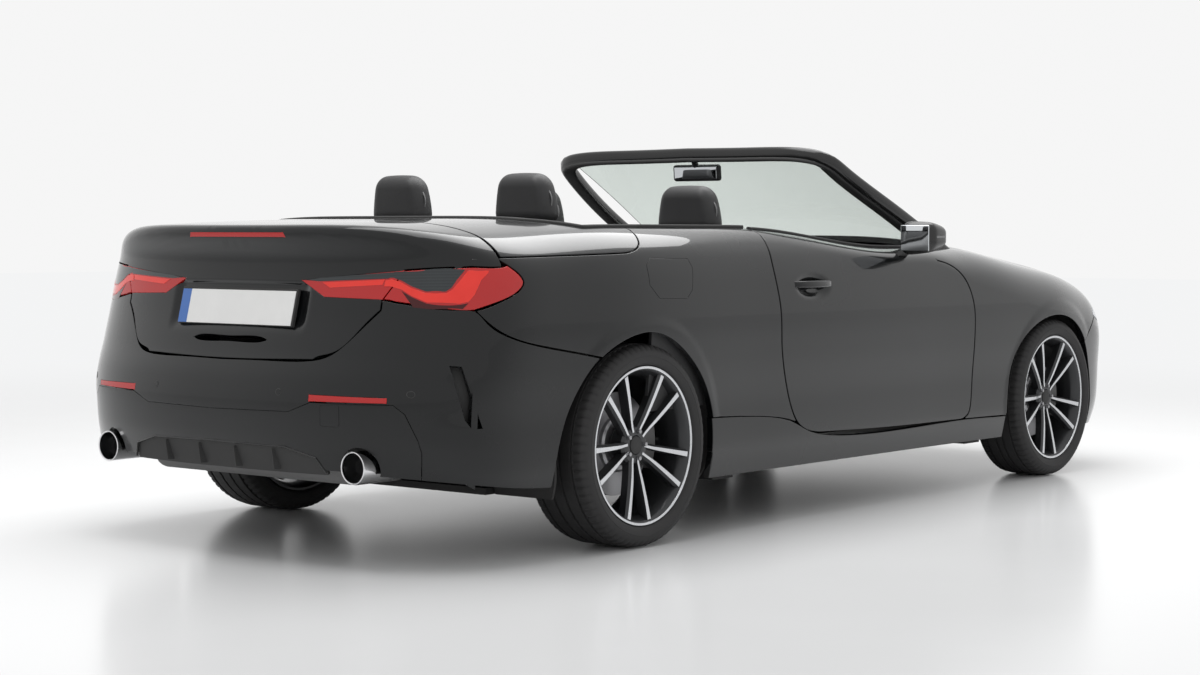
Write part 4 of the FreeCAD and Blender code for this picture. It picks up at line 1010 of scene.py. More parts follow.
def build_quarters():
    """Rear quarter panels, the right one with the fuel flap."""
    middle = (R + 300, 900, 800)
    cuts = [rear_arch_cut((R, 900, 900)),
            cut_off(ROLL, on_side(DOOR_REAR), "u+", middle, SEAM),
            cut_off(ROLL, on_side(SILL_REAR), "v-", middle, SEAM, ENDS),
            cut_off(ROLL, on_side(BUMPER_TOP), "v-", middle, SEAM),
            cut_off(ROLL, on_side(LAMP_TIP), "u-", middle, SEAM),
            cut_off(ROLL, on_side(COVER_SIDE), "v+", middle, SEAM),
            cut_off(ROLL, on_top([(R + 60, 735), (R + 1100, 735)]), "v+", middle, ROLL_EDGE),
            cut_off(ROLL, on_side([(R + 784, 1000), (R + 784, 1012)]), "u+", middle, SEAM, 200)]
    area = (R - 765, R + 1100, -420, 500)
    left = panel_skin(ROLL, area, cuts, relief=arch_lips)
    skin_piece("quarter_left_skin", left, "body_paint", "chassis", ["quarter_left"])
    flap = on_side(closed(FLAP), True)
    right = panel_skin(ROLL, area, cuts + [hole(ROLL, flap, SEAM - 3)], relief=arch_lips)
    skin_piece("quarter_right_skin", right, "body_paint", "chassis", ["quarter_right"], True)
    lid = closed_patch(ROLL, flap, 0.6, 12, 6, 1.4)
    skin_piece("fuel_flap_skin", lid, "body_paint", "fuel_flap", ["fuel_flap"], True)


def build_fenders():
    """Front fenders, from the doors to the bumper and headlamps."""
    middle = (F - 100, 900, 760)
    bonnet_edge = join(on_top([(F - 1000, 742), (F - 660, 746)]), on_top(BONNET_SIDE + BONNET_NOSE[1:3]))
    cuts = [cut_off(ROLL, on_side(FRONT_ARCH), "v-", middle, ROLL_EDGE),
            cut_off(ROLL, on_side(DOOR_FRONT), "u-", middle, SEAM),
            cut_off(ROLL, on_side(SILL_FRONT), "v-", middle, SEAM, ENDS),
            cut_off(ROLL, nose_top()[:-14], "v-", middle, SEAM),
            cut_off(ROLL, bonnet_edge, "v+", middle, SEAM),
            hole(ROLL, head_outline(), SEAM)]
    skin = panel_skin(ROLL, (F - 960, F + 640, -420, 560), cuts, relief=arch_lips)
    skin_pair("fender_{}_skin", skin, "body_paint", "chassis", "fender_{}")


def build_sills():
    """Sill covers between the wheel arches."""
    middle = (0, 900, 250)
    seam = on_side([(R + 290, 405), (R + 385, 399), (R + 870, 358), (R + 1000, 312), (F - 765, 284), (F - 500, 280),
                    (F - 300, 278)])
    cuts = [cut_off(ROLL, seam, "v+", middle, SEAM),
            cut_off(ROLL, on_side([(R + 250, 191), (F - 300, 189)]), "v-", middle, ROLL_EDGE),
            rear_arch_cut((R + 600, 900, 500)),
            cut_off(ROLL, on_side(FRONT_ARCH), "v-", (F, 900, 760), ROLL_EDGE)]
    skin = panel_skin(ROLL, (R + 330, F - 330, -460, -200), cuts)
    skin_pair("sill_{}_skin", skin, "body_paint", "chassis", "sill_covers")


# Bonnet, boot lid, top cover, cowl and bumpers.

def plate_recess(points):
    """The hollow in the lid round the number plate."""
    side = np.clip((318 - np.abs(points[:, 1])) / 42, 0, 1)
    up = np.clip((872 - points[:, 2]) / 16, 0, 1) * np.clip((points[:, 2] - 700) / 50, 0, 1)
    return np.where(points[:, 0] < LID_BACK_X, 11 * eased(side) * eased(up), 0)


def build_boot_lid():
    """The boot lid with its openings, and the number plate in its frame."""
    middle = (R - 900, 0, 1040)
    low = [(-450, 632.5), (-380, 632), (0, 625), (380, 632), (450, 632.5)]
    cuts = [cut_off(FOLD, on_end(low, -1), "v-", middle, SEAM, 2 * ENDS),
            cut_off(FOLD, lid_side(), "u+", middle, SEAM, ENDS),
            cut_off(FOLD, flipped(lid_side()), "u-", middle, SEAM, ENDS),
            cut_off(FOLD, on_top([(LID_FRONT_X, -850), (LID_FRONT_X, 850)]), "v+", middle, SEAM, ENDS)]
    cuts += [hole(FOLD, on_end(closed([(side * y, z) for y, z in LID_LAMP]), -1, True), 1.2) for side in (1, -1)]
    cuts += [hole(FOLD, on_end(closed(BRAKE_LAMP), -1, True), 1.0), hole(FOLD, on_end(closed(LID_GRIP), -1), 0.1)]
    skin = panel_skin(FOLD, (-900, 900, -195, 560), cuts, 13, relief=plate_recess)
    skin_piece("boot_lid_skin", skin, "body_paint", "boot_lid", ["boot_lid"])
    centre = node_centre("number_plate")
    tilt = turned("Y", PLATE_TILT)
    plate = placed(rounded_block((3.0, 520, 110), 1.4, 3, 0), centre + (-4.0, 0, 0), tilt)
    holder = placed(rounded_block((14, 530, 120), 3.0, 3, 1), centre + (5.0, 0, 1), tilt)
    piece("plate_and_frame", [plate, holder], ["plate_white", "black_trim"], "boot_lid", ["number_plate"])


def build_top_cover():
    """The hard cover over the folded top."""
    middle = (R - 400, 0, 1060)
    cuts = [cut_off(HOOP, on_top([(LID_FRONT_X + 5, -850), (LID_FRONT_X + 5, 850)]), "u-", middle, SEAM),
            cut_off(HOOP, on_side(COVER_SIDE), "v+", middle, SEAM, ENDS),
            cut_off(HOOP, flipped(on_side(COVER_SIDE)), "v-", middle, SEAM, ENDS),
            cut_off(HOOP, whole(on_top(COVER_FRONT, True)), "u+", middle, ROLL_EDGE)]
    skin = panel_skin(HOOP, (R - 660, R + 140, -640, 640), cuts)
    skin_piece("top_cover_skin", skin, "body_paint", "top_cover", ["top_cover"])


def build_bonnet():
    """The bonnet, from the cowl to the nose."""
    middle = (F, 0, 960)
    side = on_top(BONNET_SIDE)
    cuts = [cut_off(ABOVE, whole(on_top(BONNET_REAR[::-1])), "u-", middle, SEAM),
            cut_off(ABOVE, side, "v+", middle, SEAM, ENDS),
            cut_off(ABOVE, flipped(side), "v-", middle, SEAM, ENDS),
            cut_off(ABOVE, whole(on_top(BONNET_NOSE)), "u+", middle, SEAM, ENDS)]
    skin = panel_skin(ABOVE, (F - 660, F + 730, -770, 770), cuts)
    skin_piece("bonnet_skin", skin, "body_paint", "bonnet", ["bonnet"])


def build_cowl():
    """The black strip between bonnet and windscreen."""
    middle = (F - 640, 0, 1005)
    rear = on_top([(F - 733, 715), (F - 722, 400), (F - 716, 0)])
    cuts = [cut_off(ABOVE, whole(rear), "u-", middle, 1),
            cut_off(ABOVE, whole(on_top(BONNET_REAR[::-1])), "u+", middle, SEAM)]
    skin = panel_skin(ABOVE, (F - 740, F - 540, -705, 705), cuts)
    skin_piece("cowl_skin", skin, "black_trim", "chassis", ["cowl"])


def mirrored_flat(half):
    """A closed flat outline from its half that starts on the middle line."""
    return np.array(half + [(-u, v) for u, v in half[:0:-1]], float)


def swelled(flat, distance):
    """A flat outline moved outwards by a distance."""
    flat = np.asarray(flat, float)
    after = np.roll(flat, -1, axis=0)
    turn = 1 if np.sum(flat[:, 0] * after[:, 1] - after[:, 0] * flat[:, 1]) > 0 else -1
    ways = after - flat
    ways /= np.maximum(np.linalg.norm(ways, axis=1), 1e-9)[:, None]
    out = np.stack([ways[:, 1], -ways[:, 0]], 1) * turn
    bend = out + np.roll(out, 1, axis=0)
    bend /= np.maximum(np.sum(bend * bend, axis=1) / 2, 0.6)[:, None]
    return flat + bend * distance


def vent_scoop(points):
    """The hollow that runs into the blade-shaped vent at the bumper's corner."""
    u, v = np.abs(REAR_RING.find(points)).T
    left = 612 + (656 - v) * 0.26
    right = 752 + (618 - v) * 0.277
    share = np.clip((u - left) / (right - left), 0, 1)
    fade = eased(np.clip((v - 432) / 60, 0, 1)) * eased(np.clip((620 - v) / 60, 0, 1))
    return np.where(u < right - 6, 13 * share ** 1.8 * fade, 0)


def disc_flat(u, v, radius, count=20):
    """A circle as a flat outline."""
    return [(u + radius * math.cos(2 * math.pi * k / count), v + radius * math.sin(2 * math.pi * k / count))
            for k in range(count)]


def build_rear_bumper():
    """The bumper's upper part, its valance, tow cover, insert, vents and sensors."""
    middle = (TAIL, 0, 450)
    arch = on_side(BUMPER_REAR_ARCH)
    low = join(on_side(BUMPER_LOW), on_end([(500, 296), (394, 297), (0, 302)], -1))
    valance = mirrored_flat(VALANCE)
    low_cut = cut_off(REAR_RING, whole(low), "v-", middle, ROLL_EDGE, ENDS)
    cuts = [cut_off(REAR_RING, whole(bumper_top()), "v+", middle, SEAM, ENDS),
            cut_off(REAR_RING, arch, "u+", middle, ROLL_EDGE, ENDS),
            cut_off(REAR_RING, flipped(arch), "u-", middle, ROLL_EDGE, ENDS),
            low_cut, swelled(valance, 2.2)]
    lenses = []
    pipes = []
    for side in (1, -1):
        lens = on_end(closed([(side * y, z) for y, z in REFLECTOR]), -1, True)
        lenses.append(hole(REAR_RING, lens, 1.0))
        pipe = on_end([(side * PIPE_Y + 60 * math.cos(a), PIPE_Z + 60 * math.sin(a))
                       for a in np.linspace(0, 2 * math.pi, 33)], -1, True)
        pipes.append(hole(REAR_RING, pipe, 1.0))
        cuts.append(np.array([(side * u, v) for u, v in VENT], float))
    skin = panel_skin(REAR_RING, (-1300, 1300, 190, 840), cuts + lenses, 14, roll=1.6, relief=vent_scoop)
    skin_piece("rear_bumper_skin", skin, "body_paint", "chassis", ["rear_bumper"])
    u, v, half_u, half_v = TOW_COVER
    tow = [(u + a, v + b) for a, b in rounded_section(2 * half_u, 2 * half_v, 7, 4)]
    rear_patch("tow_cover", swelled(tow, -0.4), "lower_paint", True, 0.0, 5.0, 0.8)
    insert = mirrored_flat(DIFFUSER_CUT)
    ring = swelled(tow, 1.6) * (-1, 1)
    skin = panel_skin(REAR_RING, (-700, 700, 190, 560),
                      [swelled(valance, -1.2), low_cut, swelled(insert, 2.0), *pipes, ring], 14, roll=1.2, within=True)
    skin_piece("valance_skin", skin, "lower_paint", "chassis", ())
    low_insert = cut_off(REAR_RING, on_end([(500, 281), (0, 281), (-500, 281)], -1), "v-", middle, 0, ENDS)
    rear_patch("diffuser_insert", swelled(insert, -1.0), "black_trim", False, -7.0, 12.0, 1.2, 12, ["diffuser"],
               cuts=[low_insert])
    for word, way in SIDES:
        mirror = way < 0
        rear_patch(f"vent_floor_{word}", swelled(VENT, 3), "black_trim", mirror, -34, 3, 0.3)
        for k, (u, v) in enumerate(SENSORS):
            for name, radius, finish, lift, slot in (("sensor", 10.5, "black_trim", 0.5, "black_trim"),
                                                     ("sensor_face", 8.2, "body_paint", 1.1, "paint")):
                rear_patch(f"{name}_{word}_{k}", disc_flat(u, v, radius), finish, mirror, lift, 3, 0.4, 7,
                           relief=vent_scoop)


def build_diffuser_fins():
    """Upright fins under the bumper's middle and the bright line round their opening."""
    edge = np.array(DIFFUSER_CUT[:4], float)
    line = np.concatenate([edge[:0:-1] * (-1, 1), edge])
    parts = [sweep(lay(REAR_RING, line, None), rounded_section(7, 5, 2.2, 3))]
    for y in (-246, -82, 82, 246):
        top, low = (on_end([(y, z), (y + 1, z)], -1)[0] for z in (356, 292))
        rings = []
        for spot, half, out in ((top, 3, 2), ((top + low) / 2, 7, 8), (low, 12, 14)):
            rings.append([spot + (12, -half, 0), spot + (12, half, 0), spot + (-out, half * 0.3, 0),
                          spot + (-out, -half * 0.3, 0)])
        parts.append(loft(rings, 1))
    piece("diffuser_fins", parts, ["black_gloss", "black_trim"], "chassis", (), 25)


def build_front_bumper():
    """The front bumper round the grille's opening and the headlamps."""
    middle = (NOSE, 0, 450)
    arch = on_side([(F + 270, 575), (F + 305, 548), (F + 378, 420), (F + 396, 290), (F + 400, 190)])
    low = join(on_side([(F + 380, 190), (F + 600, 190)]), on_end([(600, 192), (0, 192)], 1))
    cuts = [cut_off(FRONT_RING, whole(nose_top()), "v+", middle, SEAM, ENDS),
            cut_off(FRONT_RING, arch, "u+", middle, ROLL_EDGE, ENDS),
            cut_off(FRONT_RING, flipped(arch), "u-", middle, ROLL_EDGE, ENDS),
            cut_off(FRONT_RING, whole(low), "v-", middle, ROLL_EDGE, ENDS),
            hole(FRONT_RING, on_end(closed(GRILLE), 1, True), 1.0),
            hole(FRONT_RING, head_outline(), SEAM),
            hole(FRONT_RING, flipped(head_outline()), SEAM)]
    skin = panel_skin(FRONT_RING, (-1300, 1300, 180, 720), cuts, 16)
    skin_piece("front_bumper_skin", skin, "body_paint", "chassis", ["front_bumper"])


# Lamps.

def build_tail_lamps():
    """The lamps at the car's corners: a red body with the inlays that show through its glass, one of them a band of
    painted shade under the blade.
    """
    middle = (R - 800, 850, 860)
    under = join(on_side([(R - 560, 835), (R - 660, 815), (R - 743, 787), (R - 803, 790), (R - 865, 810)]),
                 on_end([(600, 815), (560, 816)], -1))
    cuts = [cut_off(REAR_RING, on_side([(R - 670, 960)] + LAMP_TIP[:7] + [(R - 820, 755)]), "u+", middle, SEAM),
            cut_off(REAR_RING, lid_shoulder(), "v+", middle, SEAM),
            cut_off(REAR_RING, on_side([(R - 560, 932), (R - 700, 930)]), "v+", middle, SEAM),
            cut_off(REAR_RING, under, "v-", middle, SEAM, ENDS),
            cut_off(REAR_RING, on_end([(545, 767), (672, 955)], -1), "u-", middle, SEAM, ENDS)]
    skin_pair("tail_lamp_{}", panel_skin(REAR_RING, (400, 1300, 770, 950), cuts, 12), "lamp_red", "chassis",
              "tail_lamps")
    for word, way in SIDES:
        # The shade inlay is painted shade: a dark red band just under the blade.
        for part, outline, finish, lift in (("blade", BLADE, "lamp_blade", 1.0), ("smoke", SMOKE, "lamp_smoke", 0.7),
                                            ("shade", BLADE_SHADE, "lamp_dark_red", 0.6)):
            rear_patch(f"lamp_{part}_{word}", outline, finish, way < 0, lift, 2.0, 0.3, 9)


def build_lid_lamps():
    """The lamps in the boot lid and the high brake lamp."""
    skin_pair("lid_lamp_{}", closed_patch(FOLD, on_end(closed(LID_LAMP), -1, True), 1.2, 12, 14), "lamp_red",
              "boot_lid", "lid_lamps")
    for part, outline, finish, lift in (("band", LID_BAND, "lamp_blade", 1.0), ("dark", LID_DARK, "lamp_smoke", 0.7)):
        inlay = closed_patch(FOLD, on_end(closed(outline), -1, True), 0.1, 10, 2, 0.3, lift)
        skin_pair("lid_lamp_" + part + "_{}", inlay, finish, "boot_lid", None)
    high = closed_patch(FOLD, on_end(closed(BRAKE_LAMP), -1, True), 1.2, 8, 12)
    skin_piece("high_brake_lamp", high, "lamp_red", "boot_lid", ["brake_lamp"])


def build_other_lamps():
    """Reflectors in the rear bumper, and the headlamps."""
    lens = closed_patch(REAR_RING, on_end(closed(REFLECTOR), -1, True), 1.2, 8, 12)
    skin_pair("reflector_{}", lens, "lamp_red", "chassis", "reflectors")
    head = closed_patch(FRONT_RING, head_outline(), SEAM, 14, 14)
    skin_pair("headlamp_{}", head, "lamp_clear", "chassis", "headlamps")


# Wheels and brakes, built about the origin with their outer face towards +Y.

def tyre_part(width):
    """A tyre with grooves, shoulder blocks and sipes."""
    half = width / 2
    side = [(236.5, half - FLANGE_INSET - SEAT_DROP), (247.4, half - 30.6), (258.4, half - 22.4), (261.5, half - 17),
            (264, half - 11), (268, half - 7), (273, half - 4.5), (281, half - 1.8), (288, half - 0.6),
            (289, half + 0.3), (291.5, half + 0.3), (292.5, half - 0.6), (300, half - 1.4), (308, half - 4.5),
            (315, half - 9), (320.5, half - 14.5)]
    edge = half - 20
    tread = [(325.0, edge), (327.0, edge - 7), (328.4, edge - 15), (329.4, edge - 24), (329.7, edge - 27)]
    groove = edge - 28
    for place in (groove, groove - 44 if width < 240 else groove - 50):
        crown = TYRE - 1.4 * (place / half) ** 2
        tread += [(crown, place), (crown - 7, place - 1.5), (crown - 7, place - 8.5), (crown, place - 10)]
    profile = side + tread
    profile += [(r, -y) for r, y in profile[::-1]]
    radii, across = np.array(profile).T

    def blocks(k):
        """Cross grooves in the shoulders, staggered side to side, and short sipes in the ribs."""
        phase = np.where(across > 0, k % 4, (k + 2) % 4)
        shoulder = (np.abs(across) > groove) & (radii > 314)
        rib = (np.abs(across) < groove - 12) & (radii > TYRE - 4)
        return np.where(shoulder & (phase == 0), -4.6, 0) + np.where(rib & (phase == 1), -1.6, 0)

    return lathe(profile, 288, 0, blocks)


def spoke_parts(angle, lean, height):
    """One of a pair of spokes: cast sides in slot 0, a machined face in slot 1. Its inner side is the wider."""
    a = math.radians(angle)
    along = np.array([math.cos(a), 0, math.sin(a)])
    aside = np.array([-math.sin(a), 0, math.cos(a)])
    way = along * math.cos(lean * 0.22) + aside * math.sin(lean * 0.22)
    across = np.cross(way, (0, 1, 0))
    rings = []
    for r, offset, drop, half in SPOKE_STATIONS:
        centre = along * math.sqrt(r * r - offset * offset) + aside * (lean * offset)
        section = ((-half, 0), (half, 0), (half + 3 + 4 * (lean < 0), -8), (half + 2 + 3 * (lean < 0), -36),
                   (-half - 2 - 3 * (lean > 0), -36), (-half - 3 - 4 * (lean > 0), -8))
        rings.append([centre - across * a + np.array([0, height - drop + b, 0]) for a, b in section])
    points, faces, _ = loft(rings)
    count = len(rings[0])
    face = range(0, (len(rings) - 1) * count, count)
    return [(points, [quad for k, quad in enumerate(faces) if k not in face], 0),
            (points, [faces[k] for k in face], 1)]


def rim_parts(width):
    """Barrel and bright edge, five pairs of spokes, hub and a plain centre cap."""
    h = width / 2 - FLANGE_INSET
    barrel = [(257.6, h), (251, h - 1), (246, h - 5), (241, h - 13), (231, h - 34), (228, h - 44), (228, 40 - h),
              (240, 12 - h), (250, -h), (258, -h), (258, 8 - h), (247, 16 - h), (236.2, 36 - h), (236.2, h - 38),
              (247, h - 16.5), (257.8, h - 8)]
    edge = [(258.2, h + 0.6), (253, h + 1.0), (250.6, h - 0.2), (249.5, h - 3.0), (258, h - 5)]
    hub = [(0.0, h - 40), (30, h - 40), (33, h - 37), (44, h - 36), (58, h - 38.5), (66, h - 47), (70, h - 84),
           (64, h - 96), (0.0, h - 96)]
    cap = [(0.0, h - 31), (12, h - 31.3), (23, h - 32.6), (28.5, h - 35), (29.5, h - 41), (0.0, h - 41)]
    spokes = [part for angle in SPOKE_ANGLES for lean in (-1, 1) for part in spoke_parts(angle, lean, h)]
    return [lathe(barrel, 96, 0), lathe(edge, 96, 1), *spokes, lathe(hub, 60, 0), lathe(cap, 48, 2)]


def caliper_part():
    """A caliper that spans the disc's edge. It rides on the knuckle, so it doesn't turn with the wheel."""
    rings = []
    for k in range(13):
        a = math.radians(150 + 60 * k / 12)
        end = 1 - 0.25 * abs(k / 6 - 1) ** 3
        rings.append([(r * math.cos(a), y, r * math.sin(a)) for r, y in (
            (118, 22 * end), (172, 24 * end), (186, 14), (186, -40), (172, -52), (118, -50))])
    return loft(rings)


def bolt_tree():
    """Wheel bolts: a circle of points with a hexagon head on each."""
    tree = bpy.data.node_groups.new("Bolt Circle", "GeometryNodeTree")
    face = tree.interface
    face.new_socket("Geometry", in_out="INPUT", socket_type="NodeSocketGeometry")
    for name, kind, value in (("Count", "NodeSocketInt", 5), ("Radius", "NodeSocketFloat", 0.046),
                              ("Head", "NodeSocketFloat", 0.0085), ("Depth", "NodeSocketFloat", 0.009)):
        face.new_socket(name, in_out="INPUT", socket_type=kind).default_value = value
    face.new_socket("Finish", in_out="INPUT", socket_type="NodeSocketMaterial")
    face.new_socket("Geometry", in_out="OUTPUT", socket_type="NodeSocketGeometry")
    make, link = tree.nodes.new, tree.links.new
    start, end = make("NodeGroupInput").outputs, make("NodeGroupOutput")
    circle, head = make("GeometryNodeMeshCircle"), make("GeometryNodeMeshCone")
    spread = make("GeometryNodeInstanceOnPoints")
    real, paint = make("GeometryNodeRealizeInstances"), make("GeometryNodeSetMaterial")
    head.inputs["Vertices"].default_value = 6
    head.inputs["Radius Top"].default_value = 0.007
    link(start["Count"], circle.inputs["Vertices"])
    link(start["Radius"], circle.inputs["Radius"])
    link(start["Head"], head.inputs["Radius Bottom"])
    link(start["Depth"], head.inputs["Depth"])
    link(circle.outputs["Mesh"], spread.inputs["Points"])
    link(head.outputs["Mesh"], spread.inputs["Instance"])
    link(spread.outputs["Instances"], real.inputs["Geometry"])
    link(real.outputs["Geometry"], paint.inputs["Geometry"])
    link(start["Finish"], paint.inputs["Material"])
    link(paint.outputs["Geometry"], end.inputs["Geometry"])
    return tree


def bolt_circle(name, radius, centre, way, height):
    """The bolt tree's result as a plain mesh, turned from Z to the wheel's outer face."""
    tree = bpy.data.node_groups.get("Bolt Circle") or bolt_tree()
    holder = bpy.data.objects.new(name, bpy.data.meshes.new(name))
    bpy.context.scene.collection.objects.link(holder)
    nodes = holder.modifiers.new("Bolts", "NODES")
    nodes.node_group = tree
    values = {"Radius": radius, "Head": 8.5 * MM, "Depth": 9 * MM, "Finish": material("steel")}
    for item in tree.interface.items_tree:
        if item.item_type == "SOCKET" and item.in_out == "INPUT" and item.name in values:
            nodes[item.identifier] = values[item.name]
    found = bpy.data.meshes.new_from_object(holder.evaluated_get(bpy.context.evaluated_depsgraph_get()))
    holder.modifiers.clear()
    points = np.array([vertex.co for vertex in found.vertices]) @ turned("X", -90 * way).T
    points += (np.array(centre) + (0, way * height, 0)) * MM
    found.vertices.foreach_set("co", points.ravel())
    found.update()
    holder.data = found
    return holder


def build_wheels(settings):
    """Tyre, rim, disc, caliper and bolts at each corner."""
    for corner, x, y, width in WHEELS:
        way = 1 if y > 0 else -1
        centre = (x, y, AXLE_Z)
        body = f"wheel_{corner}"

        def here(parts):
            return [placed(part, centre, np.diag([way, way, 1.0])) for part in parts]

        piece(f"tyre_{corner}_tread", here([tyre_part(width)]), ["rubber"], body, [f"tyre_{corner}"], 30)
        piece(f"rim_{corner}_spokes", here(rim_parts(width)), ["wheel_grey", "machined_face", "black_trim"], body,
              [f"rim_{corner}"], 32)
        piece(f"disc_{corner}", here([lathe(BRAKE_DISC, 96)]), ["steel"], body, (), 32)
        holder = f"knuckle_{corner.split('_')[1]}" if corner.startswith("front") else "chassis"
        piece(f"caliper_{corner}", here([caliper_part()]), ["castings"], holder, ())
        bolts = bolt_circle(f"bolts_{corner}", settings.bolt_radius, centre, way, width / 2 - FLANGE_INSET - SEAT_DROP)
        fitted(bolts, body, ())


# Windscreen frame, mirrors, mouldings, linings and exhaust.

def build_screen():
    """The windscreen's frame with its seal, and the wipers."""
    half = [(F - 590, 745, 902), (F - 1000, 719, 1095), (F - 1300, 662, 1249), (F - 1375, 634, 1297),
            (F - 1397, 585, 1314), (F - 1394, 300, 1326), (F - 1388, 0, 1329)]
    path = through(half, 22)
    path = np.concatenate([path, path[-2::-1] * (1, -1, 1)])
    shell = sweep(path, rounded_section(58, 50, 17))
    seal = sweep(path * (1, 0.978, 1) + (-6, 0, -22), rounded_section(52, 16, 7), 1)
    piece("windscreen_frame_shell", [shell, seal], ["black_gloss", "black_trim"], "chassis", ["windscreen_frame"],
          40)
    wipers = []
    for y, reach in ((470, 540), (-150, 500)):
        foot = np.array([F - 668, y, 968.0])
        tip = np.array([F - 712, y - reach, 985.0])
        line = [foot + (tip - foot) * t + np.array([0, 0, 16 * math.sin(math.pi * t)]) for t in np.linspace(0, 1, 12)]
        wipers.append(sweep(line, rounded_section(16, 9, 3, 3), size=lambda t: 1.0 - 0.4 * t))
    piece("wipers", wipers, ["black_trim"], "chassis", (), 40)


def mirror_shape(points):
    """A door mirror's housing: blunt behind, drawn in towards the front and the outer end."""
    p = points.copy()
    ahead = np.clip((p[:, 0] + 88) / 176, 0, 1)
    out = np.clip((p[:, 1] + 78) / 156, 0, 1)
    p[:, 2] = p[:, 2] * (1 - 0.38 * ahead ** 2) * (1 - 0.16 * out ** 2) + 6 * out
    p[:, 0] -= 34 * out ** 2 * ahead
    p[:, 1] -= 12 * ahead ** 2
    return p


def build_mirrors():
    """Door mirrors: housing, glass, lamp strip and foot."""
    foot = [[(350 + dx, y, z + dz) for dx, dz in ((-34, -9), (30, -8), (36, 8), (-30, 10))]
            for y, z in ((812, 925), (850, 935), (890, 958), (930, 985))]
    parts = [placed(rounded_block((170, 156, 130), 40, 6, 0, mirror_shape), (356, 960, 1000)),
             placed(rounded_block((5, 122, 96), 2.2, 5, 1), (272.6, 960, 1002)),
             placed(rounded_block((60, 6, 8), 2.9, 3, 2), (330, 1036, 1006)), loft(foot, 3)]
    for word, way in SIDES:
        piece(f"mirror_{word}_housing", [sided(part, way) for part in parts],
              ["black_gloss", "mirror_face", "piping", "black_trim"], f"door_{word}", [f"mirror_{word}"],
              38)


def card_relief(points):
    """The armrest of the door's lining."""
    rest = np.exp(-(((points[:, 2] - 690) / 55) ** 2))
    return -14 * rest * np.clip((points[:, 0] + 500) / 200, 0, 1)


def build_mouldings():
    """Mouldings along the belt and behind the cockpit."""
    door = on_top([(R + 788, 760), (R + 1100, 760), (F - 990, 760)]) + (0, 0, 1)
    door = sweep(door, rounded_section(20, 12, 5))
    rear = on_top([(R + 70, 738), (R + 400, 738), (R + 772, 738)]) + (0, 0, 1)
    rear = sweep(rear, rounded_section(22, 14, 5))
    for word, way in SIDES:
        piece(f"belt_door_{word}", [sided(door, way)], ["black_trim"], f"door_{word}", ())
        piece(f"belt_quarter_{word}", [sided(rear, way)], ["black_trim"], "chassis", ())
    edge = sweep(whole(on_top(COVER_FRONT, True)) + (6, 0, -1), rounded_section(30, 16, 6))
    piece("cockpit_rear_trim", [edge], ["black_trim"], "top_cover", ())


def build_linings():
    """Inner cards of the doors and of the rear seat's sides, and the shelf behind the seat."""
    card = panel_skin(ROLL, (R + 700, F - 640, -420, 440), door_cuts(40, 762, 8), 24, 26, 3.0, card_relief, -30)
    skin_pair("door_lining_{}", card, "cabin_plastic", "door_{}", None)
    middle = (R + 500, 890, 700)
    cuts = [cut_off(ROLL, on_top([(R - 100, 740), (R + 1100, 740)]), "v+", middle, 8),
            cut_off(ROLL, on_side(DOOR_REAR), "u+", middle, 60)]
    card = panel_skin(ROLL, (R + 60, R + 900, -260, 470), cuts, 30, 12, 2.0, None, -34)
    skin_pair("quarter_lining_{}", card, "cabin_plastic", "chassis", None)
    shelf = placed(rounded_block((400, 1330, 18), 8, 6), (-1372, 0, 986))
    back = placed(rounded_block((30, 1200, 420), 12, 6), (-1560, 0, 790))
    piece("rear_shelf", [shelf, back], ["cabin_plastic"], "chassis", ())


def build_exhaust():
    """Silencer, hangers and the two tailpipes."""
    turn = turned("Z", 90)
    tip = lathe([(45.0, 0), (47.5, 2.5), (49.8, 0.5), (50.0, -5), (49.4, -60), (49, -150), (44, -150), (44, -8)], 64)
    core = lathe([(0.0, -128), (44.5, -128), (44.5, -134), (0.0, -134)], 48, 2)
    parts = [placed(rounded_block((270, 960, 158), 50, 6, 1), (TAIL + 285, 0, 320))]
    for y in (PIPE_Y, -PIPE_Y):
        parts += [placed(part, (TAIL + 50, y, PIPE_Z), turn) for part in (tip, core)]
        line = [(TAIL + x, y * share, PIPE_Z) for x, share in ((188, 1), (205, 0.97), (232, 0.8), (250, 0.7))]
        parts.append(sweep(through(line, 12), rounded_section(56, 56, 27, 5), 1))
    for y in (300, -300):
        hanger = [(TAIL + 280, y, z) for z in (380, 420, 466)]
        parts.append(sweep(hanger, rounded_section(16, 16, 7.5, 3), 1, (1, 0, 0)))
    piece("exhaust_and_tips", parts, ["chrome", "castings", "black_trim"], "chassis", ["exhaust"])


# Seats and cabin.

def head_shape(points):
    """A headrest: narrower at the top, crowned front and back."""
    p = points.copy()
    up = np.clip((p[:, 2] + 90) / 180, 0, 1)
    p[:, 1] *= 1.03 - 0.3 * up ** 2.2
    crown = np.cos(np.clip(p[:, 1] / 130, -1, 1) * math.pi / 2)
    p[:, 0] *= 1.0 + 0.12 * crown
    p[:, 0] -= 10 * up ** 2
    p[:, 2] += 8 * crown * up
    return p


def bolster_rise(p, width):
    """How far from the seat's middle, and the share of the bolsters' height there."""
    side = np.clip(np.abs(p[:, 1]) / (width / 2), 0, 1)
    return side, eased(np.clip((side - 0.55) / 0.35, 0, 1))


def seat_back_shape(width, height, lean, bolster):
    """Side bolsters, cross channels, a narrower top and the back's lean."""
    def shape(points):
        p = points.copy()
        side, rise = bolster_rise(p, width)
        up = (p[:, 2] + height / 2) / height
        front = p[:, 0] > 0
        p[:, 0] += np.where(front, bolster * rise * np.sin(np.clip(up * 1.05, 0, 1) * math.pi) ** 0.6, 0)
        channels = np.cos(p[:, 2] / 60 * math.pi) ** 16
        p[:, 0] -= np.where(front & (side < 0.52), 5.0 * channels, 0)
        p[:, 1] *= 1 - 0.22 * np.clip((up - 0.62) / 0.38, 0, 1) ** 1.6
        p[:, 0] -= p[:, 2] * lean
        return p
    return shape


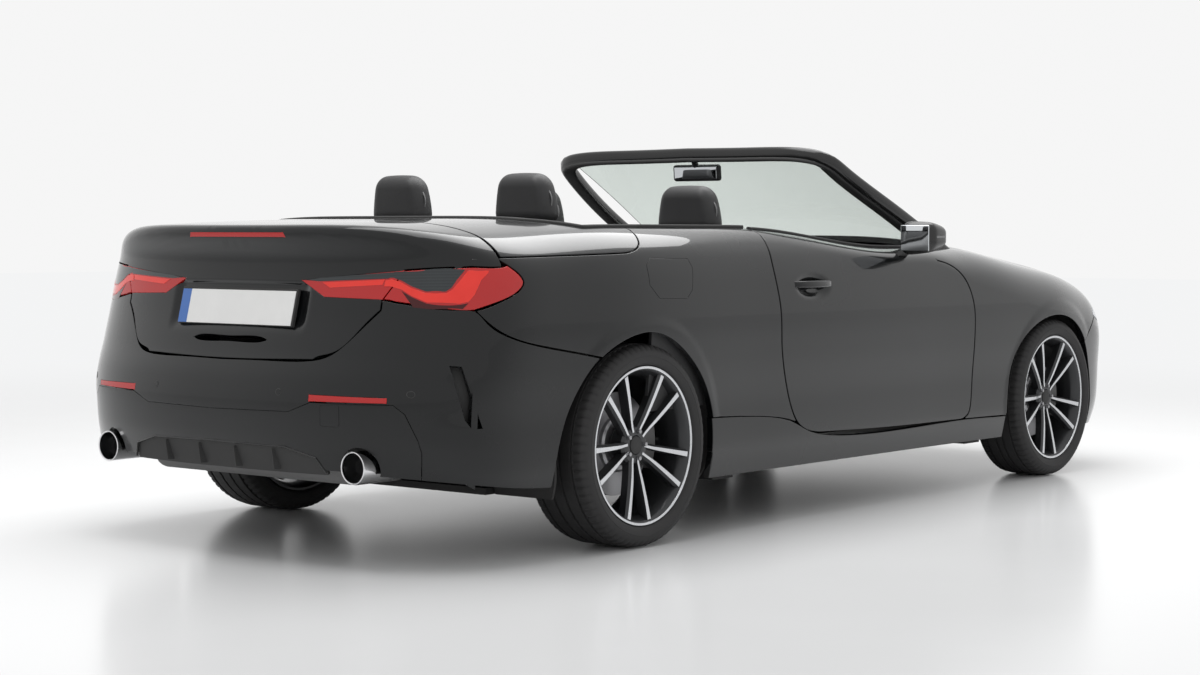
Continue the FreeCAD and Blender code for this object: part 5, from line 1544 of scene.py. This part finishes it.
def seat_base_shape(width, length, bolster):
    """Side bolsters, cross channels and a rise towards the knees."""
    def shape(points):
        p = points.copy()
        side, rise = bolster_rise(p, width)
        along = np.clip((p[:, 0] + length / 2) / length, 0, 1)
        high = np.clip(p[:, 2] / 50, 0, 1)
        channels = np.cos(p[:, 0] / 62 * math.pi) ** 16
        p[:, 2] += high * (bolster * rise + 26 * along ** 1.5 - 6 * (1 - side) * channels)
        return p
    return shape


def build_seat(name, x_hip, y, width, length, back_top, recline, head_top, head_width, nodes):
    """Back, cushion and headrest as padded pieces, with shell, posts and piping in one more."""
    lean = math.tan(math.radians(recline))
    x_top = x_hip - (back_top - 420) * lean
    x_back, z_back = (x_hip + x_top) / 2, (back_top + 400) / 2
    x_head = x_top - 62
    height = back_top - 400
    back = rounded_block((112, width - 24, height), 44, 17, 0, seat_back_shape(width - 24, height, lean, 34))
    base = rounded_block((length, width, 150), 48, 14, 0, seat_base_shape(width, length, 26))
    head = rounded_block((92, head_width, 172), 42, 14, 0, head_shape)
    for word, part, centre, stands_for in (("back", back, (x_back - 20, y, z_back), nodes),
                                           ("cushion", base, (x_hip + length / 2 - 20, y, 425), ()),
                                           ("headrest", head, (x_head, y, head_top - 92), ())):
        thing = solid_object(f"{name}_{word}", [placed(part, centre)], ["seat_leather"], 60)
        rounding = thing.modifiers.new("Round", "SUBSURF")
        rounding.levels = rounding.render_levels = 1
        fitted(thing, "chassis", stands_for)
    half = (head_width / 2 + 1.5) * 0.98
    rim = [(x_head - 12, y + half * math.cos(a) * (1 - 0.16 * max(math.sin(a), 0) ** 2),
            head_top - 94 + 84 * math.sin(a)) for a in np.linspace(-0.5, math.pi + 0.5, 40)]
    seam = sweep(rim, rounded_section(5, 5, 2.4, 3), 1, (1, 0, 0))
    posts = [sweep([(x_head, y + dy, back_top - 40), (x_head, y + dy, head_top - 120)],
                   rounded_section(13, 13, 6.3), 2, (1, 0, 0)) for dy in (-60, 60)]
    shell = rounded_block((24, width - 60, height - 120), 11, 8, 3, seat_back_shape(width - 60, height - 120, lean, 0))
    shell = placed(shell, (x_back - 84, y, z_back - 20))
    foot = placed(rounded_block((length - 80, width - 120, 120), 12, 3, 3), (x_hip + length / 2 - 20, y, 300))
    piece(f"{name}_fittings", [seam, *posts, shell, foot], ["seat_leather", "piping", "chrome", "cabin_plastic"],
          "chassis", (), 45)


def build_seats():
    """Two front seats, and the rear seat as two."""
    for word, way in SIDES:
        build_seat(f"front_seat_{word}", F - 1580, way * 375, 500, 500, 1030, 22, 1192, 262, [f"seat_front_{word}"])
        build_seat(f"rear_seat_{word}", R + 370, way * 293, 582, 420, 1040, 16, 1222, 246,
                   ["seat_rear"] if way > 0 else [])


def build_dashboard():
    """Display, instrument hood and panel, vents and trim strip; console with its lever and armrest."""
    parts = [placed(rounded_block((14, 280, 110), 6, 5, 1), (F - 1105, 0, 965), turned("Y", -14)),
             placed(rounded_block((150, 330, 60), 28, 6, 0), (F - 1075, 375, 940)),
             placed(rounded_block((10, 250, 80), 4.5, 4, 1), (F - 1148, 375, 935), turned("Y", -18))]
    for y in (640, 110, -110, -640):
        parts.append(placed(rounded_block((20, 110, 44), 8, 4, 1), (F - 1158, y, 848), turned("Y", -8)))
    parts.append(placed(rounded_block((12, 620, 34), 5, 6, 2), (F - 1155, -330, 795), turned("Y", 10)))
    piece("dashboard_fittings", parts, ["cabin_plastic", "black_gloss", "piping"], "chassis", (), 40)
    parts = [placed(rounded_block((46, 40, 72), 16, 5, 0), (F - 1330, 0, 575)),
             placed(rounded_block((250, 130, 12), 5, 6, 1), (F - 1330, 0, 530), turned("Y", -8)),
             placed(rounded_block((300, 170, 60), 22, 6, 2), (F - 1690, 0, 565), turned("Y", 4))]
    piece("console_fittings", parts, ["black_gloss", "black_gloss", "seat_leather"], "chassis", (), 40)


def build_steering_wheel():
    """Ring, hub and three spokes."""
    centre = node_centre("steering_wheel") + (-8, 0, 0)
    tilt = turned("Y", 24.0)
    ring = lathe([(WHEEL_RING + 14 * math.cos(a), 14 * math.sin(a)) for a in np.linspace(0, 2 * math.pi, 17)[:-1]], 72)
    parts = [placed(ring, centre, tilt @ turned("Z", 90)),
             placed(rounded_block((44, 150, 120), 20, 6, 1), centre + (16, 0, -5), tilt)]
    for angle, wide in ((8, 34), (172, 34), (270, 26)):
        a = math.radians(angle)
        way = np.array([0, math.cos(a), math.sin(a)])
        line = [tilt @ (way * r + np.array([14 * (1 - r / WHEEL_RING), 0, 0])) + centre for r in (50, 110, 178)]
        parts.append(sweep(line, rounded_section(wide, 12, 5, 3), 1, tilt @ np.array([1, 0, 0])))
    piece("steering_wheel_rim", parts, ["seat_leather", "cabin_plastic"], "steering_wheel", ["steering_wheel"],
          45)


def build_cabin_mirror():
    """The inner mirror on its stalk."""
    stalk = [(F - 1332, 0, 1270), (F - 1352, 0, 1300), (F - 1368, 0, 1318)]
    parts = [placed(rounded_block((26, 228, 66), 12, 6, 0), (F - 1333, 0, 1258), turned("Y", -6)),
             placed(rounded_block((4, 206, 48), 1.9, 5, 1), (F - 1346, 0, 1257), turned("Y", -6)),
             sweep(stalk, rounded_section(22, 22, 8, 3), 0, (0, 1, 0))]
    piece("cabin_mirror", parts, ["cabin_plastic", "mirror_face"], "chassis", ["rear_view_mirror"], 40)


# Finishes: name, first and second colour, roughness from and to, metallic, coat, spread, grain, bump, other sockets.
# A word for the first colour names a property. The frame brings black_gloss, black_trim, lamp_red, lamp_clear, steel
# and castings with it.

GLOSS = {"Coat IOR": 1.36, "Coat Roughness": 0.012, "Specular IOR Level": 0.12}
LENS = {"Coat IOR": 1.34, "Coat Roughness": 0.01, "Specular IOR Level": 0.1}
GLASS = {"Transmission Weight": 1.0, "IOR": 1.3}
FINISHES = [
    ("lamp_blade", "lamp", (0.88, 0.05, 0.035), 0.15, 0.25, 0.0, 1.0, 14, 900, 0.0, LENS),
    # The next finish is painted shade, laid as a band under the tail lamps' blade.
    ("lamp_dark_red", (0.045, 0.002, 0.003), None, 0.1, 0.2, 0.0, 1.0, 9, 900, 0.0, LENS),
    ("lamp_smoke", (0.035, 0.04, 0.043), None, 0.1, 0.2, 0.0, 1.0, 9, 900, 0.0, LENS),
    ("wheel_grey", (0.026, 0.027, 0.029), (0.04, 0.041, 0.044), 0.34, 0.46, 0.55, 0.3, 8, 1200, 0.05),
    ("machined_face", "wheel_face", (0.66, 0.67, 0.69), 0.2, 0.32, 1.0, 0.5, 20, 2500, 0.04),
    ("chrome", (0.62, 0.62, 0.63), (0.7, 0.7, 0.71), 0.08, 0.16, 1.0, 0.0, 12, 900, 0.0),
    ("chassis_black", (0.012, 0.012, 0.013), (0.022, 0.021, 0.02), 0.6, 0.8, 0.0, 0.0, 6, 300, 0.3),
    ("rubber", (0.013, 0.013, 0.014), (0.022, 0.021, 0.021), 0.62, 0.78, 0.0, 0.0, 9, 900, 0.18),
    ("cabin_plastic", (0.016, 0.016, 0.017), (0.024, 0.024, 0.025), 0.5, 0.65, 0.0, 0.0, 8, 1500, 0.35),
    ("seat_leather", "leather", (0.027, 0.027, 0.028), 0.42, 0.56, 0.0, 0.0, 12, 700, 0.4),
    ("piping", (0.16, 0.16, 0.165), (0.22, 0.22, 0.22), 0.5, 0.6, 0.0, 0.0, 12, 900, 0.2),
    ("mirror_face", (0.6, 0.62, 0.64), (0.66, 0.68, 0.7), 0.02, 0.05, 1.0, 0.0, 5, 100, 0.0),
    ("tinted_glass", (0.80, 0.87, 0.83), (0.84, 0.90, 0.86), 0.0, 0.02, 0.0, 0.0, 3, 100, 0.0, GLASS),
    ("plate_white", (0.72, 0.72, 0.71), (0.8, 0.8, 0.79), 0.25, 0.4, 0.0, 0.4, 12, 900, 0.03),
]
CAD_FINISHES = {
    "castings": ["engine", "rear_axle", "front_axle", "knuckle_left", "knuckle_right"],
    "chassis_black": ["floor_pan", "bulkheads", "wheel_houses"],
    "cabin_plastic": ["console", "dashboard", "steering_column"],
    "tinted_glass": ["windscreen"],
    "black_gloss": ["grille"],
    "seat_leather": ["seat_rear", "seat_front_left", "seat_front_right"],
}


def plate_strip(tree):
    """The strip at the plate's left end."""
    return math_node(tree, "GREATER_THAN", coordinate(tree, "Y"), 0.218)


def lamp_lines(tree):
    """Fine level lines behind a lamp's glass."""
    wave = math_node(tree, "SINE", math_node(tree, "MULTIPLY", coordinate(tree, "Z"), 1400.0))
    return math_node(tree, "MULTIPLY", math_node(tree, "GREATER_THAN", wave, 0.35), 0.6)


def build_finishes(settings):
    """All materials, and the finish of each CAD node that stays visible."""
    paint = settings.paint[:3]
    make_material("body_paint", paint, None, 0.24, 0.32, 0.25, 1.0, 1.3, 3000, 0.0, GLOSS)
    make_material("lower_paint", tuple(v + 0.006 for v in paint), None, 0.3, 0.38, 0.25, 0.8, 1.3, 3000, 0.0, GLOSS)
    for name, colour, *rest in FINISHES:
        make_material(name, getattr(settings, colour)[:3] if isinstance(colour, str) else colour, *rest)
    masked("lamp_smoke", (0.006, 0.007, 0.008), lamp_lines)
    masked("plate_white", settings.plate_strip[:3], plate_strip)
    slots = {node: name for name, nodes in CAD_FINISHES.items() for node in nodes}
    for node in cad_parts:
        thing = bpy.data.objects.get(node)
        if thing and thing.type == "MESH":
            look = material(slots.get(node, "black_trim"))
            if not thing.material_slots:
                thing.data.materials.append(look)
            for slot in thing.material_slots:
                slot.material = look


# Camera, floor, lamp and background.

def build_camera(scene):
    """The photo's camera, as solved from it."""
    data = bpy.data.cameras.new("view")
    data.sensor_fit = "HORIZONTAL"
    data.sensor_width = 36
    data.lens = CAMERA_LENS
    data.clip_end = 200
    camera = bpy.data.objects.new("view", data)
    yaw, pitch = math.radians(CAMERA_YAW), math.radians(CAMERA_PITCH)
    ahead = Vector((math.cos(pitch) * math.cos(yaw), math.cos(pitch) * math.sin(yaw), math.sin(pitch)))
    turn = ahead.to_track_quat("-Z", "Y").to_matrix().to_4x4()
    camera.matrix_world = (Matrix.Translation(CAMERA_PLACE) @ turn
                           @ Matrix.Rotation(math.radians(CAMERA_ROLL), 4, "Z"))
    scene.collection.objects.link(camera)
    scene.camera = camera


def fade_floor(tree):
    """Far from the car the floor takes the background's tone, so that no horizon shows."""
    place = tree.nodes.new("ShaderNodeTexCoord")
    length = tree.nodes.new("ShaderNodeVectorMath")
    length.operation = "LENGTH"
    span = tree.nodes.new("ShaderNodeMapRange")
    span.interpolation_type = "SMOOTHSTEP"
    span.inputs["From Min"].default_value = 2.6
    span.inputs["From Max"].default_value = 10.0
    tree.links.new(place.outputs["Object"], length.inputs[0])
    tree.links.new(length.outputs["Value"], span.inputs["Value"])
    path = tree.nodes.new("ShaderNodeLightPath")
    glow = tree.nodes.new("ShaderNodeEmission")
    glow.inputs["Color"].default_value = (0.9, 0.905, 0.91, 1)
    mix = tree.nodes.new("ShaderNodeMixShader")
    tree.links.new(math_node(tree, "MULTIPLY", span.outputs["Result"], path.outputs["Is Camera Ray"]), mix.inputs[0])
    tree.links.new(tree.nodes["Principled BSDF"].outputs[0], mix.inputs[1])
    tree.links.new(glow.outputs[0], mix.inputs[2])
    tree.links.new(mix.outputs[0], tree.nodes["Material Output"].inputs["Surface"])


def build_background(scene):
    """A white world: one level as light, a brighter one where it is seen, also in reflections and through glass."""
    world = bpy.data.worlds.new("studio")
    scene.world = world
    world.use_nodes = True
    tree = world.node_tree
    background = tree.nodes["Background"]
    background.inputs["Color"].default_value = (1, 1, 1, 1)
    path = tree.nodes.new("ShaderNodeLightPath").outputs
    seen = math_node(tree, "MAXIMUM", path["Is Camera Ray"], path["Is Glossy Ray"])
    seen = math_node(tree, "MAXIMUM", seen, path["Is Transmission Ray"])
    level = tree.nodes.new("ShaderNodeMapRange")
    level.inputs["To Min"].default_value = 0.75
    level.inputs["To Max"].default_value = 0.92
    tree.links.new(seen, level.inputs["Value"])
    tree.links.new(level.outputs["Result"], background.inputs["Strength"])


def build_stage(scene):
    """Camera, floor, lamp and background."""
    build_camera(scene)
    scene.view_settings.view_transform = "Standard"
    mesh = bpy.data.meshes.new("floor")
    mesh.from_pydata([(x * FLOOR_HALF, y * FLOOR_HALF, 0) for x, y in ((-1, -1), (1, -1), (1, 1), (-1, 1))], [],
                     [(0, 1, 2, 3)])
    floor = bpy.data.objects.new("floor", mesh)
    scene.collection.objects.link(floor)
    pale = make_material("pale_floor", (0.86, 0.865, 0.87), (0.88, 0.885, 0.89), 0.16, 0.24, 0.0, 0.0, 0.6, 300)
    fade_floor(pale.node_tree)
    floor.data.materials.append(pale)
    light = bpy.data.lights.new("overhead", "AREA")
    light.shape = "RECTANGLE"
    light.size, light.size_y = 7.0, 2.6
    light.energy = scene.convertible_finish.lamp_power
    lamp = bpy.data.objects.new("overhead", light)
    lamp.location = (0.0, 0.0, 4.2)
    scene.collection.objects.link(lamp)
    build_background(scene)


class ConvertibleFinish(bpy.types.PropertyGroup):
    paint: bpy.props.FloatVectorProperty(
        name="Paint", description="Body colour", subtype="COLOR", size=4, default=(0.004, 0.0045, 0.005, 1))
    lamp: bpy.props.FloatVectorProperty(
        name="Lamp", description="Colour of the bright band in the lamps", subtype="COLOR", size=4,
        default=(0.75, 0.03, 0.022, 1))
    wheel_face: bpy.props.FloatVectorProperty(
        name="Wheel Face", description="Colour of the spokes' machined face", subtype="COLOR", size=4,
        default=(0.52, 0.53, 0.55, 1))
    leather: bpy.props.FloatVectorProperty(
        name="Leather", description="Colour of the seats", subtype="COLOR", size=4, default=(0.017, 0.017, 0.018, 1))
    plate_strip: bpy.props.FloatVectorProperty(
        name="Plate Strip", description="Colour of the strip at the plate's end", subtype="COLOR", size=4,
        default=(0.02, 0.12, 0.42, 1))
    bolt_radius: bpy.props.FloatProperty(
        name="Bolt Circle", description="Radius of the circle of wheel bolts", unit="LENGTH", default=0.046)
    lamp_power: bpy.props.FloatProperty(
        name="Lamp Power", description="Power of the lamp over the car", unit="POWER", default=210.0)


class CONVERTIBLE_OT_stage(bpy.types.Operator):
    """Floor, background, lamp and camera"""
    bl_idname = "convertible.stage"
    bl_label = "Stage"

    def execute(self, context):
        build_stage(context.scene)
        return {"FINISHED"}


class CONVERTIBLE_OT_finishes(bpy.types.Operator):
    """Materials of every finish"""
    bl_idname = "convertible.finishes"
    bl_label = "Finishes"

    def execute(self, context):
        build_finishes(context.scene.convertible_finish)
        return {"FINISHED"}


class CONVERTIBLE_OT_side_panels(bpy.types.Operator):
    """Doors, quarters, fenders and sills"""
    bl_idname = "convertible.side_panels"
    bl_label = "Side Panels"

    def execute(self, context):
        build_doors()
        build_quarters()
        build_fenders()
        build_sills()
        return {"FINISHED"}


class CONVERTIBLE_OT_end_panels(bpy.types.Operator):
    """Bumpers, bonnet, boot lid, top cover and cowl"""
    bl_idname = "convertible.end_panels"
    bl_label = "End Panels"

    def execute(self, context):
        build_boot_lid()
        build_top_cover()
        build_bonnet()
        build_rear_bumper()
        build_diffuser_fins()
        build_front_bumper()
        build_cowl()
        return {"FINISHED"}


class CONVERTIBLE_OT_lamps(bpy.types.Operator):
    """Tail lamps, brake lamp, reflectors and headlamps"""
    bl_idname = "convertible.lamps"
    bl_label = "Lamps"

    def execute(self, context):
        build_tail_lamps()
        build_lid_lamps()
        build_other_lamps()
        return {"FINISHED"}


class CONVERTIBLE_OT_wheels(bpy.types.Operator):
    """Tyres, spoked rims, bolts and brakes"""
    bl_idname = "convertible.wheels"
    bl_label = "Wheels"

    def execute(self, context):
        build_wheels(context.scene.convertible_finish)
        return {"FINISHED"}


class CONVERTIBLE_OT_trims(bpy.types.Operator):
    """Windscreen frame, wipers, mirrors, mouldings, linings and exhaust"""
    bl_idname = "convertible.trims"
    bl_label = "Trims"

    def execute(self, context):
        build_screen()
        build_mirrors()
        build_mouldings()
        build_linings()
        build_exhaust()
        return {"FINISHED"}


class CONVERTIBLE_OT_cabin(bpy.types.Operator):
    """Seats, dashboard and console fittings, steering wheel and inner mirror"""
    bl_idname = "convertible.cabin"
    bl_label = "Cabin"

    def execute(self, context):
        build_seats()
        build_dashboard()
        build_steering_wheel()
        build_cabin_mirror()
        return {"FINISHED"}


class CONVERTIBLE_PT_panel(bpy.types.Panel):
    """Sizes, colours and the steps that build the car"""
    bl_label = "Convertible"
    bl_space_type = "VIEW_3D"
    bl_region_type = "UI"
    bl_category = "Convertible"

    def draw(self, context):
        for name in ConvertibleFinish.__annotations__:
            self.layout.prop(context.scene.convertible_finish, name)
        for step in STEPS:
            self.layout.operator(step.bl_idname)


STEPS = [CONVERTIBLE_OT_stage, CONVERTIBLE_OT_finishes, CONVERTIBLE_OT_side_panels, CONVERTIBLE_OT_end_panels,
         CONVERTIBLE_OT_lamps, CONVERTIBLE_OT_wheels, CONVERTIBLE_OT_trims, CONVERTIBLE_OT_cabin]
CLASSES = [ConvertibleFinish, *STEPS, CONVERTIBLE_PT_panel]


def register():
    for kind in CLASSES:
        bpy.utils.register_class(kind)
    bpy.types.Scene.convertible_finish = bpy.props.PointerProperty(type=ConvertibleFinish)


def unregister():
    del bpy.types.Scene.convertible_finish
    for kind in reversed(CLASSES):
        bpy.utils.unregister_class(kind)


def run(step):
    """Runs a step through its operator."""
    group, name = step.bl_idname.split(".")
    getattr(getattr(bpy.ops, group), name)()


def main():
    register()
    for step in STEPS:
        run(step)


if __name__ == "__main__":
    main()
